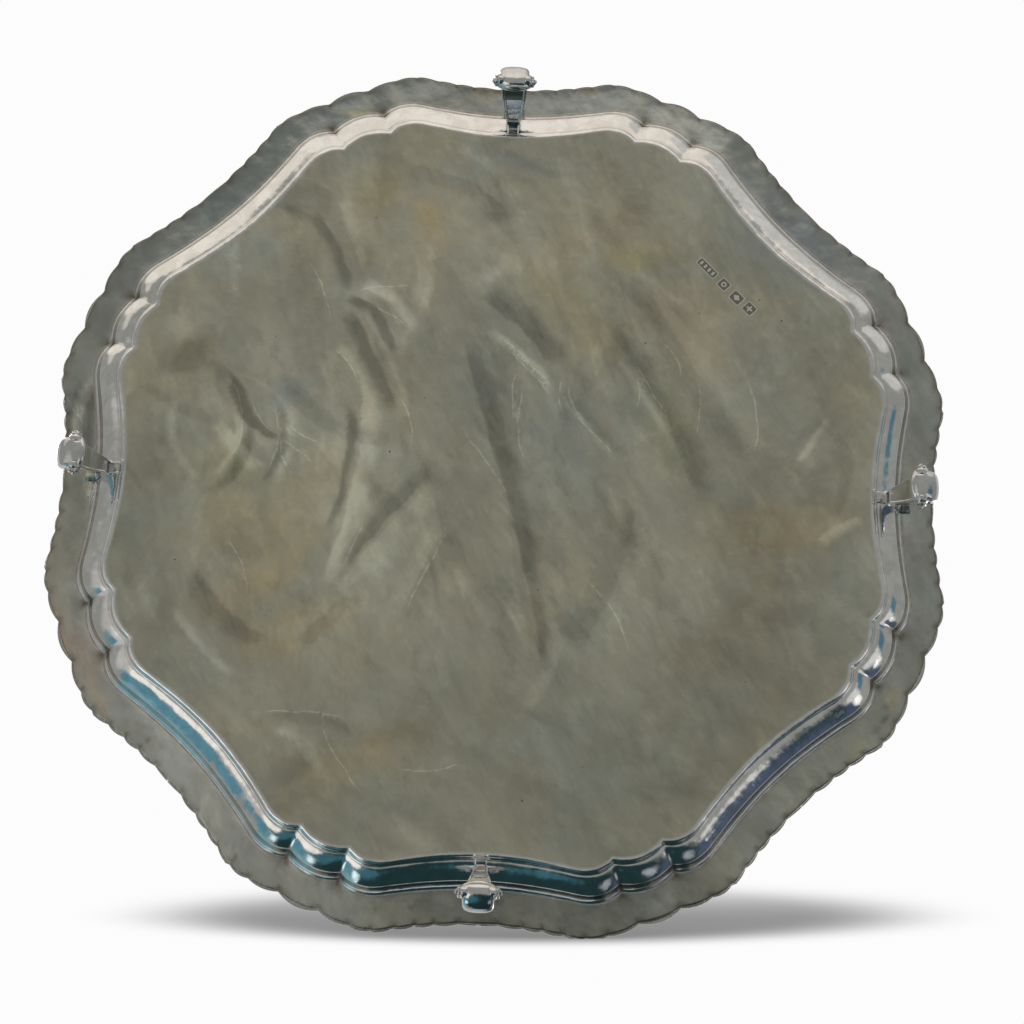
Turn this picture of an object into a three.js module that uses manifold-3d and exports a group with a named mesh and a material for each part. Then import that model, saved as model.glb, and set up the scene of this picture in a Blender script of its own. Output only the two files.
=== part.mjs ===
// Silver salver: a raised sheet plate with a lobed outline, a cast gadrooned border in eight
// lengths soldered on its rim, and four cast scroll feet. Millimetres, +Z up. The salver stands
// on its feet: z = 0 is the table and the Z axis runs through the middle of the plate.
import * as THREE from 'three';
import { mergeVertices } from 'three/addons/utils/BufferGeometryUtils.js';
import Module from 'manifold-3d';

const wasm = await Module();
wasm.setup();

// ---- Driving dimensions -------------------------------------------------------------------
const SECTORS = 8;                 // the outline repeats eight times
const FEET = 4;                    // one foot at every second dip of the outline
const HALF_SECTOR = 180 / SECTORS; // degrees from a dip to the middle of the next lobe

const WELL_BASE = 16.3;            // height of the well's underside over the table
const SHEET = 1.1;                 // thickness of the raised sheet
const SOLDER_GAP = 0.3;            // room left between a casting and the sheet

// Plan of the well's edge: a long dip, a round shoulder, a cusp and a small lobe.
const DIP_RADIUS = 123.7;
const DIP_RISE = 0.0397;           // mm per degree squared
const DIP_END = 13.2;              // degrees from the dip's middle
const SHOULDER_RADIUS = 132.0;
const SHOULDER_ANGLE = 16.1;
const CUSP_ANGLE = 18.75;
const CUSP_RADIUS = 130.1;
const LOBE_RADIUS = 132.25;

// Plan of the rim's edge, measured in the valleys between the gadroons.
const RIM_DIP_RADIUS = 145.3;
const RIM_DIP_RISE = 0.0455;
const RIM_DIP_END = 12.3;
const RIM_SHOULDER_RADIUS = 153.1;
const RIM_SHOULDER_ANGLE = 15.6;
const RIM_SHOULDER_FALL = 0.065;
const RIM_LOBE_RADIUS = 152.0;

// Gadroons: the angles of the valleys in half a sector, and how far the crowns stand out.
const VALLEYS = [2.6, 5.6, 8.0, 10.45, 13.0, 15.75, 19.8];
const DIP_CROWN = 0.6;
const CROWN = 0.75;
const LOBE_CROWN = 1.75;
const STEPS_PER_GADROON = 4;

// The plate is drawn on a round plan with these radii, then bent to the lobed plan.
const ROUND_WELL = 128;
const STEP_WIDTH = 10.8;           // the moulded step between the well and the rim
const ROUND_RIM = 150;
const RIM_INSET = 0.5;             // the sheet's edge, inside the border's valleys
const SECTOR_STEPS = 24;
const PLATE_PROFILE = [            // underside of the step: distance out, height over the well
  [0, 0],
  [1.9, 0.7],
  [5.2, 1.8],
  [8.5, 3.7],
  [9.3, 5.4],
  [STEP_WIDTH, 6.9],
];
const RIM_RISE = 7.9;              // height of the rim's outer edge over the well

// Border section: x runs inward from the rim's edge, y up from the sheet.
const BORDER_SECTION = [
  [0, 0],
  [0, 1.1],
  [1.6, 2.7],
  [4.2, 3.2],
  [6.4, 1.9],
  [7.0, 0.9],
  [8.6, 0.8],
  [8.6, 0],
];
const BORDER_CREST = 3.2;
const VALLEY_DEPTH = 0.9;          // how much lower the border is between two gadroons
const BORDER_JOINT = 0.3;          // gap between two lengths of border, along the edge

// Foot: a scroll rolled round an axis across the leg, with a coiled volute at each end.
const SCROLL_RADIUS = 3.8;
const SCROLL_DISTANCE = 139.7;     // from the salver's axis to the scroll's axis
const SCROLL_SIDES = 16;
const BARREL_HALF_WIDTH = 4.9;
const VOLUTE_RISE = 1.2;           // the volutes' axis over the scroll's axis
const VOLUTE_COILS = 3;
const VOLUTE_TIP = 7.8;            // half the width over both volutes
const TONGUE_WIDTH = 4.0;
const TONGUE_START = 124.6;
const TONGUE_END = 131.5;
const TONGUE_THICKNESS = 0.9;
const LEG_SLICES = [               // height, inner x, outer x, width inside, width outside
  [23.9, 131.2, 137.9, 13.0, 9.8],
  [21.9, 130.8, 137.6, 10.4, 8.4],
  [19.6, 130.0, 137.3, 6.4, 6.6],
  [16.8, 129.5, 137.0, 4.2, 5.4],
  [13.9, 130.8, 136.9, 4.2, 4.8],
  [10.6, 133.0, 137.8, 5.8, 5.8],
  [7.4, 135.2, 140.6, 7.4, 7.4],
  [4.6, 137.2, 141.2, 8.2, 8.2],
];

// ---- Materials ----------------------------------------------------------------------------
const tarnishedSilver = new THREE.MeshStandardMaterial({
  color: 0x9a9a8e,
  metalness: 1,
  roughness: 0.42,
});
const polishedSilver = new THREE.MeshStandardMaterial({
  color: 0xd8d6cf,
  metalness: 1,
  roughness: 0.15,
});

// ---- Plan of the salver -------------------------------------------------------------------
/** Angle in degrees to the middle of the nearest dip, from 0 to HALF_SECTOR. */
function foldedAngle(angle) {
  const degrees = THREE.MathUtils.radToDeg(angle);
  const inSector = THREE.MathUtils.euclideanModulo(degrees + HALF_SECTOR, 2 * HALF_SECTOR);
  return Math.abs(inSector - HALF_SECTOR);
}

/** Radius of the line where the flat well ends. */
function wellEdge(angle) {
  const folded = foldedAngle(angle);
  if (folded < DIP_END) {
    return DIP_RADIUS + DIP_RISE * folded ** 2;
  }
  if (folded < SHOULDER_ANGLE) {
    const dipEnd = DIP_RADIUS + DIP_RISE * DIP_END ** 2;
    const share = (SHOULDER_ANGLE - folded) / (SHOULDER_ANGLE - DIP_END);
    return SHOULDER_RADIUS - (SHOULDER_RADIUS - dipEnd) * share ** 2;
  }
  if (folded < CUSP_ANGLE) {
    const share = (folded - SHOULDER_ANGLE) / (CUSP_ANGLE - SHOULDER_ANGLE);
    return SHOULDER_RADIUS - (SHOULDER_RADIUS - CUSP_RADIUS) * share ** 2;
  }
  const share = (HALF_SECTOR - folded) / (HALF_SECTOR - CUSP_ANGLE);
  return LOBE_RADIUS - (LOBE_RADIUS - CUSP_RADIUS) * share ** 2;
}

/** Radius of the rim's edge as it runs through the valleys between the gadroons. */
function rimValley(angle) {
  const folded = foldedAngle(angle);
  if (folded < RIM_DIP_END) {
    return RIM_DIP_RADIUS + RIM_DIP_RISE * folded ** 2;
  }
  const shoulder = RIM_SHOULDER_RADIUS - RIM_SHOULDER_FALL * (folded - RIM_SHOULDER_ANGLE) ** 2;
  return Math.max(shoulder, RIM_LOBE_RADIUS);
}

/** Where an angle lies on its gadroon: 0 in the valleys, 1 on the crown, and the crown's size. */
function gadroon(angle) {
  const folded = foldedAngle(angle);
  const next = VALLEYS.findIndex((valley) => folded < valley);
  if (next === 0) {
    return { share: 1 - (folded / VALLEYS[0]) ** 2, crown: DIP_CROWN };
  }
  if (next === -1) {
    const last = VALLEYS.at(-1);
    return { share: 1 - ((HALF_SECTOR - folded) / (HALF_SECTOR - last)) ** 2, crown: LOBE_CROWN };
  }
  const across = (folded - VALLEYS[next - 1]) / (VALLEYS[next] - VALLEYS[next - 1]);
  return { share: 1 - (2 * across - 1) ** 2, crown: CROWN };
}

/** Radius on the lobed plan of a point drawn at a radius on the round plan. */
function bendToPlan(roundRadius, angle) {
  const well = wellEdge(angle);
  if (roundRadius < ROUND_WELL) {
    return roundRadius * well / ROUND_WELL;
  }
  const stepEnd = ROUND_WELL + STEP_WIDTH;
  if (roundRadius < stepEnd) {
    return well + roundRadius - ROUND_WELL;
  }
  const share = (roundRadius - stepEnd) / (ROUND_RIM - stepEnd);
  return THREE.MathUtils.lerp(well + STEP_WIDTH, rimValley(angle) - RIM_INSET, share);
}

/** Height of the sheet's underside at a radius on the plan. */
function undersideHeight(radius, angle) {
  const out = radius - wellEdge(angle);
  const next = PLATE_PROFILE.findIndex(([distance]) => out < distance);
  if (next === 0) {
    return WELL_BASE;
  }
  if (next === -1) {
    return WELL_BASE + PLATE_PROFILE.at(-1)[1];
  }
  const [near, low] = PLATE_PROFILE[next - 1];
  const [far, high] = PLATE_PROFILE[next];
  return WELL_BASE + THREE.MathUtils.mapLinear(out, near, far, low, high);
}

// ---- Solids -------------------------------------------------------------------------------
/** The points of a line drawn in 2D, moved to its left by a distance. */
function offsetLine(points, distance) {
  return points.map((point, i) => {
    const before = points[Math.max(i - 1, 0)];
    const after = points[Math.min(i + 1, points.length - 1)];
    const along = after.clone().sub(before).normalize();
    return new THREE.Vector2(point.x - along.y * distance, point.y + along.x * distance);
  });
}

/** The sheet as a closed solid. The underside and the top can be moved apart from the sheet. */
function sheetGeometry(underClearance, topClearance) {
  const under = [new THREE.Vector2(0, WELL_BASE)];
  for (const [distance, height] of PLATE_PROFILE) {
    under.push(new THREE.Vector2(ROUND_WELL + distance, WELL_BASE + height));
  }
  under.push(new THREE.Vector2(ROUND_RIM, WELL_BASE + RIM_RISE));
  const lower = offsetLine(under, -underClearance);
  const upper = offsetLine(under, SHEET + topClearance);
  lower[0].x = 0;
  upper[0].x = 0;
  lower.at(-1).x = ROUND_RIM;
  upper.at(-1).x = ROUND_RIM;
  const geometry = new THREE.LatheGeometry([...lower, ...upper.reverse()], SECTORS * SECTOR_STEPS);
  geometry.rotateX(Math.PI / 2);
  const position = geometry.attributes.position;
  for (let i = 0; i < position.count; i += 1) {
    const x = position.getX(i);
    const y = position.getY(i);
    const angle = Math.atan2(y, x);
    const radius = bendToPlan(Math.hypot(x, y), angle);
    position.setXY(i, radius * Math.cos(angle), radius * Math.sin(angle));
  }
  return geometry;
}

/** Angles, in degrees from a dip, of the sections along one length of border. */
function borderStations() {
  const mirrored = VALLEYS.map((valley) => 2 * HALF_SECTOR - valley).reverse();
  const marks = [0, ...VALLEYS, ...mirrored, 2 * HALF_SECTOR];
  const stations = [];
  for (let i = 1; i < marks.length; i += 1) {
    for (let step = 0; step < STEPS_PER_GADROON; step += 1) {
      stations.push(THREE.MathUtils.lerp(marks[i - 1], marks[i], step / STEPS_PER_GADROON));
    }
  }
  stations.push(marks.at(-1));
  return stations;
}

/** One cast length of border, from the dip at startAngle to the next dip. */
function borderGeometry(startAngle) {
  const section = new THREE.Shape(BORDER_SECTION.map(([x, y]) => new THREE.Vector2(x, y)));
  const stations = borderStations();
  const steps = stations.length - 1;
  const geometry = new THREE.ExtrudeGeometry(section, { depth: steps, steps, bevelEnabled: false });
  const endTrim = BORDER_JOINT / 2 / RIM_DIP_RADIUS;
  const position = geometry.attributes.position;
  for (let i = 0; i < position.count; i += 1) {
    const index = Math.round(position.getZ(i));
    const station = THREE.MathUtils.degToRad(stations[index]);
    const trim = index === 0 ? endTrim : (index === steps ? -endTrim : 0);
    const angle = startAngle + station + trim;
    const { share, crown } = gadroon(angle);
    const inward = position.getX(i) / BORDER_SECTION.at(-1)[0];
    const height = position.getY(i);
    const radius = rimValley(angle) + crown * share * (1 - inward) - position.getX(i);
    const lift = height / BORDER_CREST;
    const top = height - VALLEY_DEPTH * (1 - share) * lift ** 2;
    const seat = WELL_BASE + RIM_RISE + SHEET + SOLDER_GAP;
    position.setXYZ(i, radius * Math.cos(angle), radius * Math.sin(angle), seat + top);
  }
  return geometry;
}

/** A closed three.js geometry as a manifold-3d solid. */
function toSolid(geometry) {
  const bare = geometry.clone();
  bare.deleteAttribute('normal');
  bare.deleteAttribute('uv');
  const welded = mergeVertices(bare, 1e-4);
  return new wasm.Manifold(new wasm.Mesh({
    numProp: 3,
    vertProperties: new Float32Array(welded.attributes.position.array),
    triVerts: new Uint32Array(welded.index.array),
  }));
}

/** A manifold-3d solid as a three.js geometry with flat faces. */
function toGeometry(solid) {
  const mesh = solid.getMesh();
  const geometry = new THREE.BufferGeometry();
  geometry.setAttribute('position', new THREE.BufferAttribute(mesh.vertProperties, 3));
  geometry.setIndex(new THREE.BufferAttribute(mesh.triVerts, 1));
  geometry.computeVertexNormals();
  return geometry;
}

/** A solid turned round an axis across the leg, from half its profile, with a flat downwards. */
function turnedGeometry(halfProfile, height) {
  const flatSides = 1 / Math.cos(Math.PI / SCROLL_SIDES);
  const points = [
    ...halfProfile.map(([radius, y]) => new THREE.Vector2(radius * flatSides, -y)).reverse(),
    ...halfProfile.map(([radius, y]) => new THREE.Vector2(radius * flatSides, y)),
  ];
  const geometry = new THREE.LatheGeometry(points, SCROLL_SIDES);
  geometry.rotateY(Math.PI / SCROLL_SIDES);
  geometry.translate(SCROLL_DISTANCE, 0, height);
  return geometry;
}

/** The barrel that the foot's scroll is rolled into, which stands on the table. */
function barrelGeometry() {
  return turnedGeometry([
    [SCROLL_RADIUS, 0.7 * BARREL_HALF_WIDTH],
    [0.92 * SCROLL_RADIUS, BARREL_HALF_WIDTH],
    [0, BARREL_HALF_WIDTH],
  ], SCROLL_RADIUS);
}

/** Both volutes, stepped inwards by one coil after another. */
function voluteGeometry() {
  const coil = (VOLUTE_TIP - BARREL_HALF_WIDTH) / VOLUTE_COILS;
  const profile = [];
  for (let i = 0; i < VOLUTE_COILS; i += 1) {
    const radius = SCROLL_RADIUS * (0.85 - i / VOLUTE_COILS * 0.8);
    profile.push([radius, BARREL_HALF_WIDTH + i * coil]);
    profile.push([0.9 * radius, BARREL_HALF_WIDTH + (i + 0.9) * coil]);
  }
  profile.push([0, VOLUTE_TIP]);
  return turnedGeometry(profile, SCROLL_RADIUS + VOLUTE_RISE);
}

/** The leg and its flared base, a stack of tapered slices from the rim down to the scroll. */
function legGeometry() {
  const levels = LEG_SLICES.length - 1;
  const geometry = new THREE.BoxGeometry(2, 2, levels, 1, 1, levels);
  const position = geometry.attributes.position;
  for (let i = 0; i < position.count; i += 1) {
    const level = Math.round(levels / 2 - position.getZ(i));
    const [height, inner, outer, innerWidth, outerWidth] = LEG_SLICES[level];
    const outside = position.getX(i) > 0;
    const width = outside ? outerWidth : innerWidth;
    position.setXYZ(i, outside ? outer : inner, position.getY(i) * width / 2, height);
  }
  return geometry;
}

/** The tongue laid across the step to the well's edge. */
function tongueGeometry() {
  const pieces = 5;
  const geometry = new THREE.BoxGeometry(pieces, TONGUE_WIDTH, 2, pieces, 1, 1);
  const position = geometry.attributes.position;
  for (let i = 0; i < position.count; i += 1) {
    const share = position.getX(i) / pieces + 0.5;
    const x = THREE.MathUtils.lerp(TONGUE_START, TONGUE_END, share);
    const top = undersideHeight(x, 0) + SHEET / 2;
    const bottom = undersideHeight(x, 0) - SOLDER_GAP - TONGUE_THICKNESS;
    position.setX(i, x);
    position.setZ(i, position.getZ(i) > 0 ? top : bottom);
  }
  return geometry;
}

/** One cast foot under the dip on the +X side, cut to lie against the plate's underside. */
function footGeometry() {
  const plateRoom = toSolid(sheetGeometry(SOLDER_GAP, 2 * SHEET));
  const leg = toSolid(legGeometry()).add(toSolid(tongueGeometry()));
  const scroll = toSolid(barrelGeometry()).add(toSolid(voluteGeometry()));
  return toGeometry(leg.add(scroll).subtract(plateRoom));
}

// ---- The salver ---------------------------------------------------------------------------
function named(name, geometry, material) {
  const mesh = new THREE.Mesh(geometry, material);
  mesh.name = name;
  return mesh;
}

const salver = new THREE.Group();
salver.add(named('plate', sheetGeometry(0, 0), tarnishedSilver));

for (let i = 0; i < SECTORS; i += 1) {
  const start = i * THREE.MathUtils.degToRad(2 * HALF_SECTOR);
  salver.add(named(`border_length_${i + 1}`, borderGeometry(start), polishedSilver));
}

const foot = footGeometry();
for (let i = 0; i < FEET; i += 1) {
  const mesh = named(`scroll_foot_${i + 1}`, foot, polishedSilver);
  mesh.rotation.z = i * 2 * Math.PI / FEET;
  salver.add(mesh);
}

export default salver;
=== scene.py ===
"""Looks of the silver salver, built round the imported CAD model. Blender 4.5, metres.

Lengths below are in millimetres, as in the CAD source, and are scaled once when a mesh is made.
"""
import math

import bpy
import numpy as np
from mathutils import Matrix, Vector


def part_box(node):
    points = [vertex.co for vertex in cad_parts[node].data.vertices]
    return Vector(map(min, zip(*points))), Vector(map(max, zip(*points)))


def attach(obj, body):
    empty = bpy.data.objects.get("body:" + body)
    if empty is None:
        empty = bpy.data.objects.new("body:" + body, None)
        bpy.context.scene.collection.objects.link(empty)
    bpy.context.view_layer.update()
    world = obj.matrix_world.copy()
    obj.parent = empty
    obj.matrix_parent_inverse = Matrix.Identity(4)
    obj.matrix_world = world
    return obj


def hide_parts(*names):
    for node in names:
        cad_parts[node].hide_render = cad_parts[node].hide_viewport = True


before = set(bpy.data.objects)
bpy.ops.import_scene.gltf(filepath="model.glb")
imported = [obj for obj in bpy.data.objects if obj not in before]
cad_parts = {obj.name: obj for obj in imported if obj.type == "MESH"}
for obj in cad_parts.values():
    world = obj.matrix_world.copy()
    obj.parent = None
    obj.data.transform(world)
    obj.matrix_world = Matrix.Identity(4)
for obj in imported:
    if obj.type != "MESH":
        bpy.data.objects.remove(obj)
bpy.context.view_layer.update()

MM = 0.001

# ---- Sizes that repeat the CAD model's plan ---------------------------------------------------
SECTORS = 8                        # lengths of border, and dips in the outline
FEET = 4
HALF_SECTOR = 180 / SECTORS        # degrees
WELL_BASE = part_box("plate")[0].z / MM
SHEET = 1.1                        # thickness of the sheet
STEP_WIDTH = 10.8
RIM_RISE = 7.9                     # height of the rim's edge over the well
RIM_INSET = 0.5                    # how far the sheet stops inside the border's edge
VALLEYS = [2.6, 5.6, 8.0, 10.45, 13.0, 15.75, 19.8]    # between gadroons, degrees from a dip
DIP_CROWN, CROWN, LOBE_CROWN = 0.6, 0.75, 1.75         # how far the gadroons stand out
CUSP_ANGLE = 18.75                 # degrees from a dip's middle to the cusp beside a lobe
DIP_EDGE = 145.3                   # radius of the rim's edge at the middle of a dip
BORDER_WIDTH = 8.6
BORDER_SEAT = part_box("border_length_1")[0].z / MM


# ---- Small mesh helpers -----------------------------------------------------------------------
def in_scene(name, data):
    """A new object with this data, linked to the scene."""
    made = bpy.data.objects.new(name, data)
    bpy.context.scene.collection.objects.link(made)
    return made


def new_object(name, points, faces, attributes=None):
    """A smooth mesh object from points in millimetres and a list of face index lists."""
    mesh = bpy.data.meshes.new(name)
    mesh.from_pydata((np.asarray(points) * MM).tolist(), [], faces)
    for key, values in (attributes or {}).items():
        layer = mesh.attributes.new(key, "FLOAT", "POINT")
        layer.data.foreach_set("value", np.asarray(values, np.float32).ravel())
    mesh.polygons.foreach_set("use_smooth", [True] * len(mesh.polygons))
    mesh.update()
    return in_scene(name, mesh)


def ring_faces(rings, count):
    """Quads between consecutive closed rings of `count` points each."""
    near = np.arange(count)
    far = (near + 1) % count
    faces = []
    for ring in range(rings - 1):
        low, high = ring * count, (ring + 1) * count
        quads = np.stack([low + near, low + far, high + far, high + near], 1)
        faces.extend(quads.tolist())
    return faces


def capped_tube(rings):
    """Points and faces of a closed tube from equal rings of points, with a fan on each end."""
    rings = np.asarray(rings, float)
    rows, count = rings.shape[:2]
    points = np.concatenate([rings.reshape(-1, 3), rings[:1].mean(1), rings[-1:].mean(1)])
    faces = ring_faces(rows, count)
    first, last = rows * count, rows * count + 1
    for i in range(count):
        after = (i + 1) % count
        faces.append([first, after, i])
        faces.append([last, (rows - 1) * count + i, (rows - 1) * count + after])
    return points, faces


def join_shells(shells):
    """One set of points and faces from several closed shells."""
    points, faces, start = [], [], 0
    for shell_points, shell_faces in shells:
        points.append(np.asarray(shell_points, float))
        faces.extend([[start + i for i in face] for face in shell_faces])
        start += len(shell_points)
    return np.concatenate(points), faces


def smooth_step(value, low, high):
    """0 below the low value, 1 above the high one, and smooth in between."""
    share = np.clip((value - low) / (high - low), 0, 1)
    return share * share * (3 - 2 * share)


# ---- Plan of the salver, as in the CAD model --------------------------------------------------
def folded(degrees):
    """Degrees to the middle of the nearest dip of the outline."""
    return np.abs((np.asarray(degrees, float) + HALF_SECTOR) % (2 * HALF_SECTOR) - HALF_SECTOR)


def well_edge(degrees):
    """Radius of the line where the flat well ends: dip, shoulder, cusp and lobe."""
    angle = folded(degrees)
    dip = 123.7 + 0.0397 * angle ** 2
    dip_end = 123.7 + 0.0397 * 13.2 ** 2
    shoulder = 132.0 - (132.0 - dip_end) * ((16.1 - angle) / 2.9) ** 2
    cusp = 132.0 - 1.9 * ((angle - 16.1) / 2.65) ** 2
    lobe = 132.25 - 2.15 * ((HALF_SECTOR - angle) / 3.75) ** 2
    return np.select([angle < 13.2, angle < 16.1, angle < CUSP_ANGLE], [dip, shoulder, cusp], lobe)


def rim_valley(degrees):
    """Radius of the rim's edge in the valleys between the gadroons."""
    angle = folded(degrees)
    shoulder = np.maximum(153.1 - 0.065 * (angle - 15.6) ** 2, 152.0)
    return np.where(angle < 12.3, DIP_EDGE + 0.0455 * angle ** 2, shoulder)


def gadroon(degrees):
    """Place on the gadroon, -1 to 1 from valley to valley, and how far its crown stands out."""
    angle = folded(degrees)
    edges = np.array([-VALLEYS[0], *VALLEYS, 2 * HALF_SECTOR - VALLEYS[-1]])
    cell = np.clip(np.searchsorted(edges, angle, side="right") - 1, 0, len(VALLEYS))
    low, high = edges[cell], edges[cell + 1]
    across = (2 * angle - low - high) / (high - low)
    crown = np.select([cell == 0, cell == len(VALLEYS)], [DIP_CROWN, LOBE_CROWN], CROWN)
    return across, crown, cell


def underside(out):
    """Height of the sheet's underside over the well, by distance out from the well's edge."""
    out = np.asarray(out, float)

    def share(low, high):
        return np.clip((out - low) / (high - low), 0, 1)

    roll = 0.75 * (1 - np.sqrt(1 - share(0, 1.8) ** 2 * 0.96))
    first_line = 0.2 * share(1.8, 2.1)
    band = 2.75 * share(2.1, 8.4) ** 1.6
    second_line = 0.45 * share(8.4, 8.7)
    cove = 2.7 * (1 - (1 - share(8.7, STEP_WIDTH)) ** 1.8)
    return roll + first_line + band + second_line + cove


STEP_HEIGHT = float(underside(STEP_WIDTH))


# ---- Node helpers -----------------------------------------------------------------------------
class Tree:
    """Short names for the nodes that the materials and the world are made of."""

    def __init__(self, owner):
        owner.use_nodes = True
        self.nodes, self.links = owner.node_tree.nodes, owner.node_tree.links
        self.nodes.clear()

    def node(self, kind, values=None, **settings):
        made = self.nodes.new(kind)
        for name, value in settings.items():
            setattr(made, name, value)
        for name, value in (values or {}).items():
            self.put(made.inputs[name], value)
        return made

    def put(self, socket, value):
        if isinstance(value, bpy.types.NodeSocket):
            self.links.new(value, socket)
        else:
            socket.default_value = value

    def math(self, operation, *values):
        made = self.node("ShaderNodeMath", operation=operation)
        for socket, value in zip(made.inputs, values):
            self.put(socket, value)
        return made.outputs[0]

    def vector(self, operation, *values):
        made = self.node("ShaderNodeVectorMath", operation=operation)
        for socket, value in zip(made.inputs, values):
            self.put(socket, value)
        return made.outputs["Value" if operation in ("DOT_PRODUCT", "LENGTH") else "Vector"]

    def step(self, value, low, high, start=0.0, end=1.0):
        """A smooth change from start to end as the value goes from low to high."""
        made = self.node("ShaderNodeMapRange", interpolation_type="SMOOTHSTEP")
        for name, given in (("Value", value), ("From Min", low), ("From Max", high),
                            ("To Min", start), ("To Max", end)):
            self.put(made.inputs[name], given)
        return made.outputs["Result"]

    def noise(self, place, scale, detail=3.0, roughness=0.55, distortion=0.0, colour=False):
        made = self.node("ShaderNodeTexNoise", {"Vector": place, "Scale": scale, "Detail": detail,
                                                "Roughness": roughness, "Distortion": distortion})
        return made.outputs["Color" if colour else "Fac"]

    def mix(self, share, first, second, mode="MIX"):
        made = self.node("ShaderNodeMix", data_type="RGBA", blend_type=mode)
        self.put(made.inputs[0], share)
        for socket, value in ((made.inputs[6], first), (made.inputs[7], second)):
            self.put(socket, value if isinstance(value, bpy.types.NodeSocket) else (*value, 1))
        return made.outputs[2]

    def scale_colour(self, colour, amount):
        """A colour times a number."""
        grey = self.node("ShaderNodeCombineColor",
                         {"Red": amount, "Green": amount, "Blue": amount}).outputs[0]
        return self.mix(1.0, colour, grey, "MULTIPLY")

    def attribute(self, name):
        return self.node("ShaderNodeAttribute", attribute_name=name).outputs["Fac"]

    def bump(self, height, strength, distance, normal=None):
        values = {"Height": height, "Strength": strength, "Distance": distance}
        if normal is not None:
            values["Normal"] = normal
        return self.node("ShaderNodeBump", values).outputs["Normal"]

    def place(self):
        """Object coordinates in millimetres."""
        coordinates = self.node("ShaderNodeTexCoord").outputs["Object"]
        return self.scaled(coordinates, 1 / MM)

    def drawn_out(self, vector, turn, factor):
        """Coordinates in which a pattern is drawn out along a direction in the plate's plane."""
        made = self.node("ShaderNodeMapping", vector_type="TEXTURE")
        self.put(made.inputs["Vector"], vector)
        made.inputs["Rotation"].default_value = (0, 0, math.radians(turn))
        made.inputs["Scale"].default_value = (factor, 1.0, 1.0)
        return made.outputs[0]

    def scaled(self, vector, factor):
        made = self.node("ShaderNodeVectorMath", operation="SCALE")
        self.put(made.inputs[0], vector)
        self.put(made.inputs["Scale"], factor)
        return made.outputs["Vector"]

    def surface(self, shader, output="ShaderNodeOutputMaterial"):
        """Joins a shader to the output of the material or the world."""
        self.links.new(shader.outputs[0], self.node(output).inputs["Surface"])

    def metal(self, colour, roughness, normal):
        """A metal surface, joined to the material's output."""
        self.surface(self.node("ShaderNodeBsdfPrincipled", {
            "Base Color": colour, "Metallic": 1.0, "Roughness": roughness, "Normal": normal}))

    def either(self, share, first, second):
        """Two shaders mixed: the first where the share is 0, the second where it is 1."""
        mixed = self.node("ShaderNodeMixShader", {"Fac": share})
        self.links.new(first.outputs[0], mixed.inputs[1])
        self.links.new(second.outputs[0], mixed.inputs[2])
        return mixed


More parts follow.
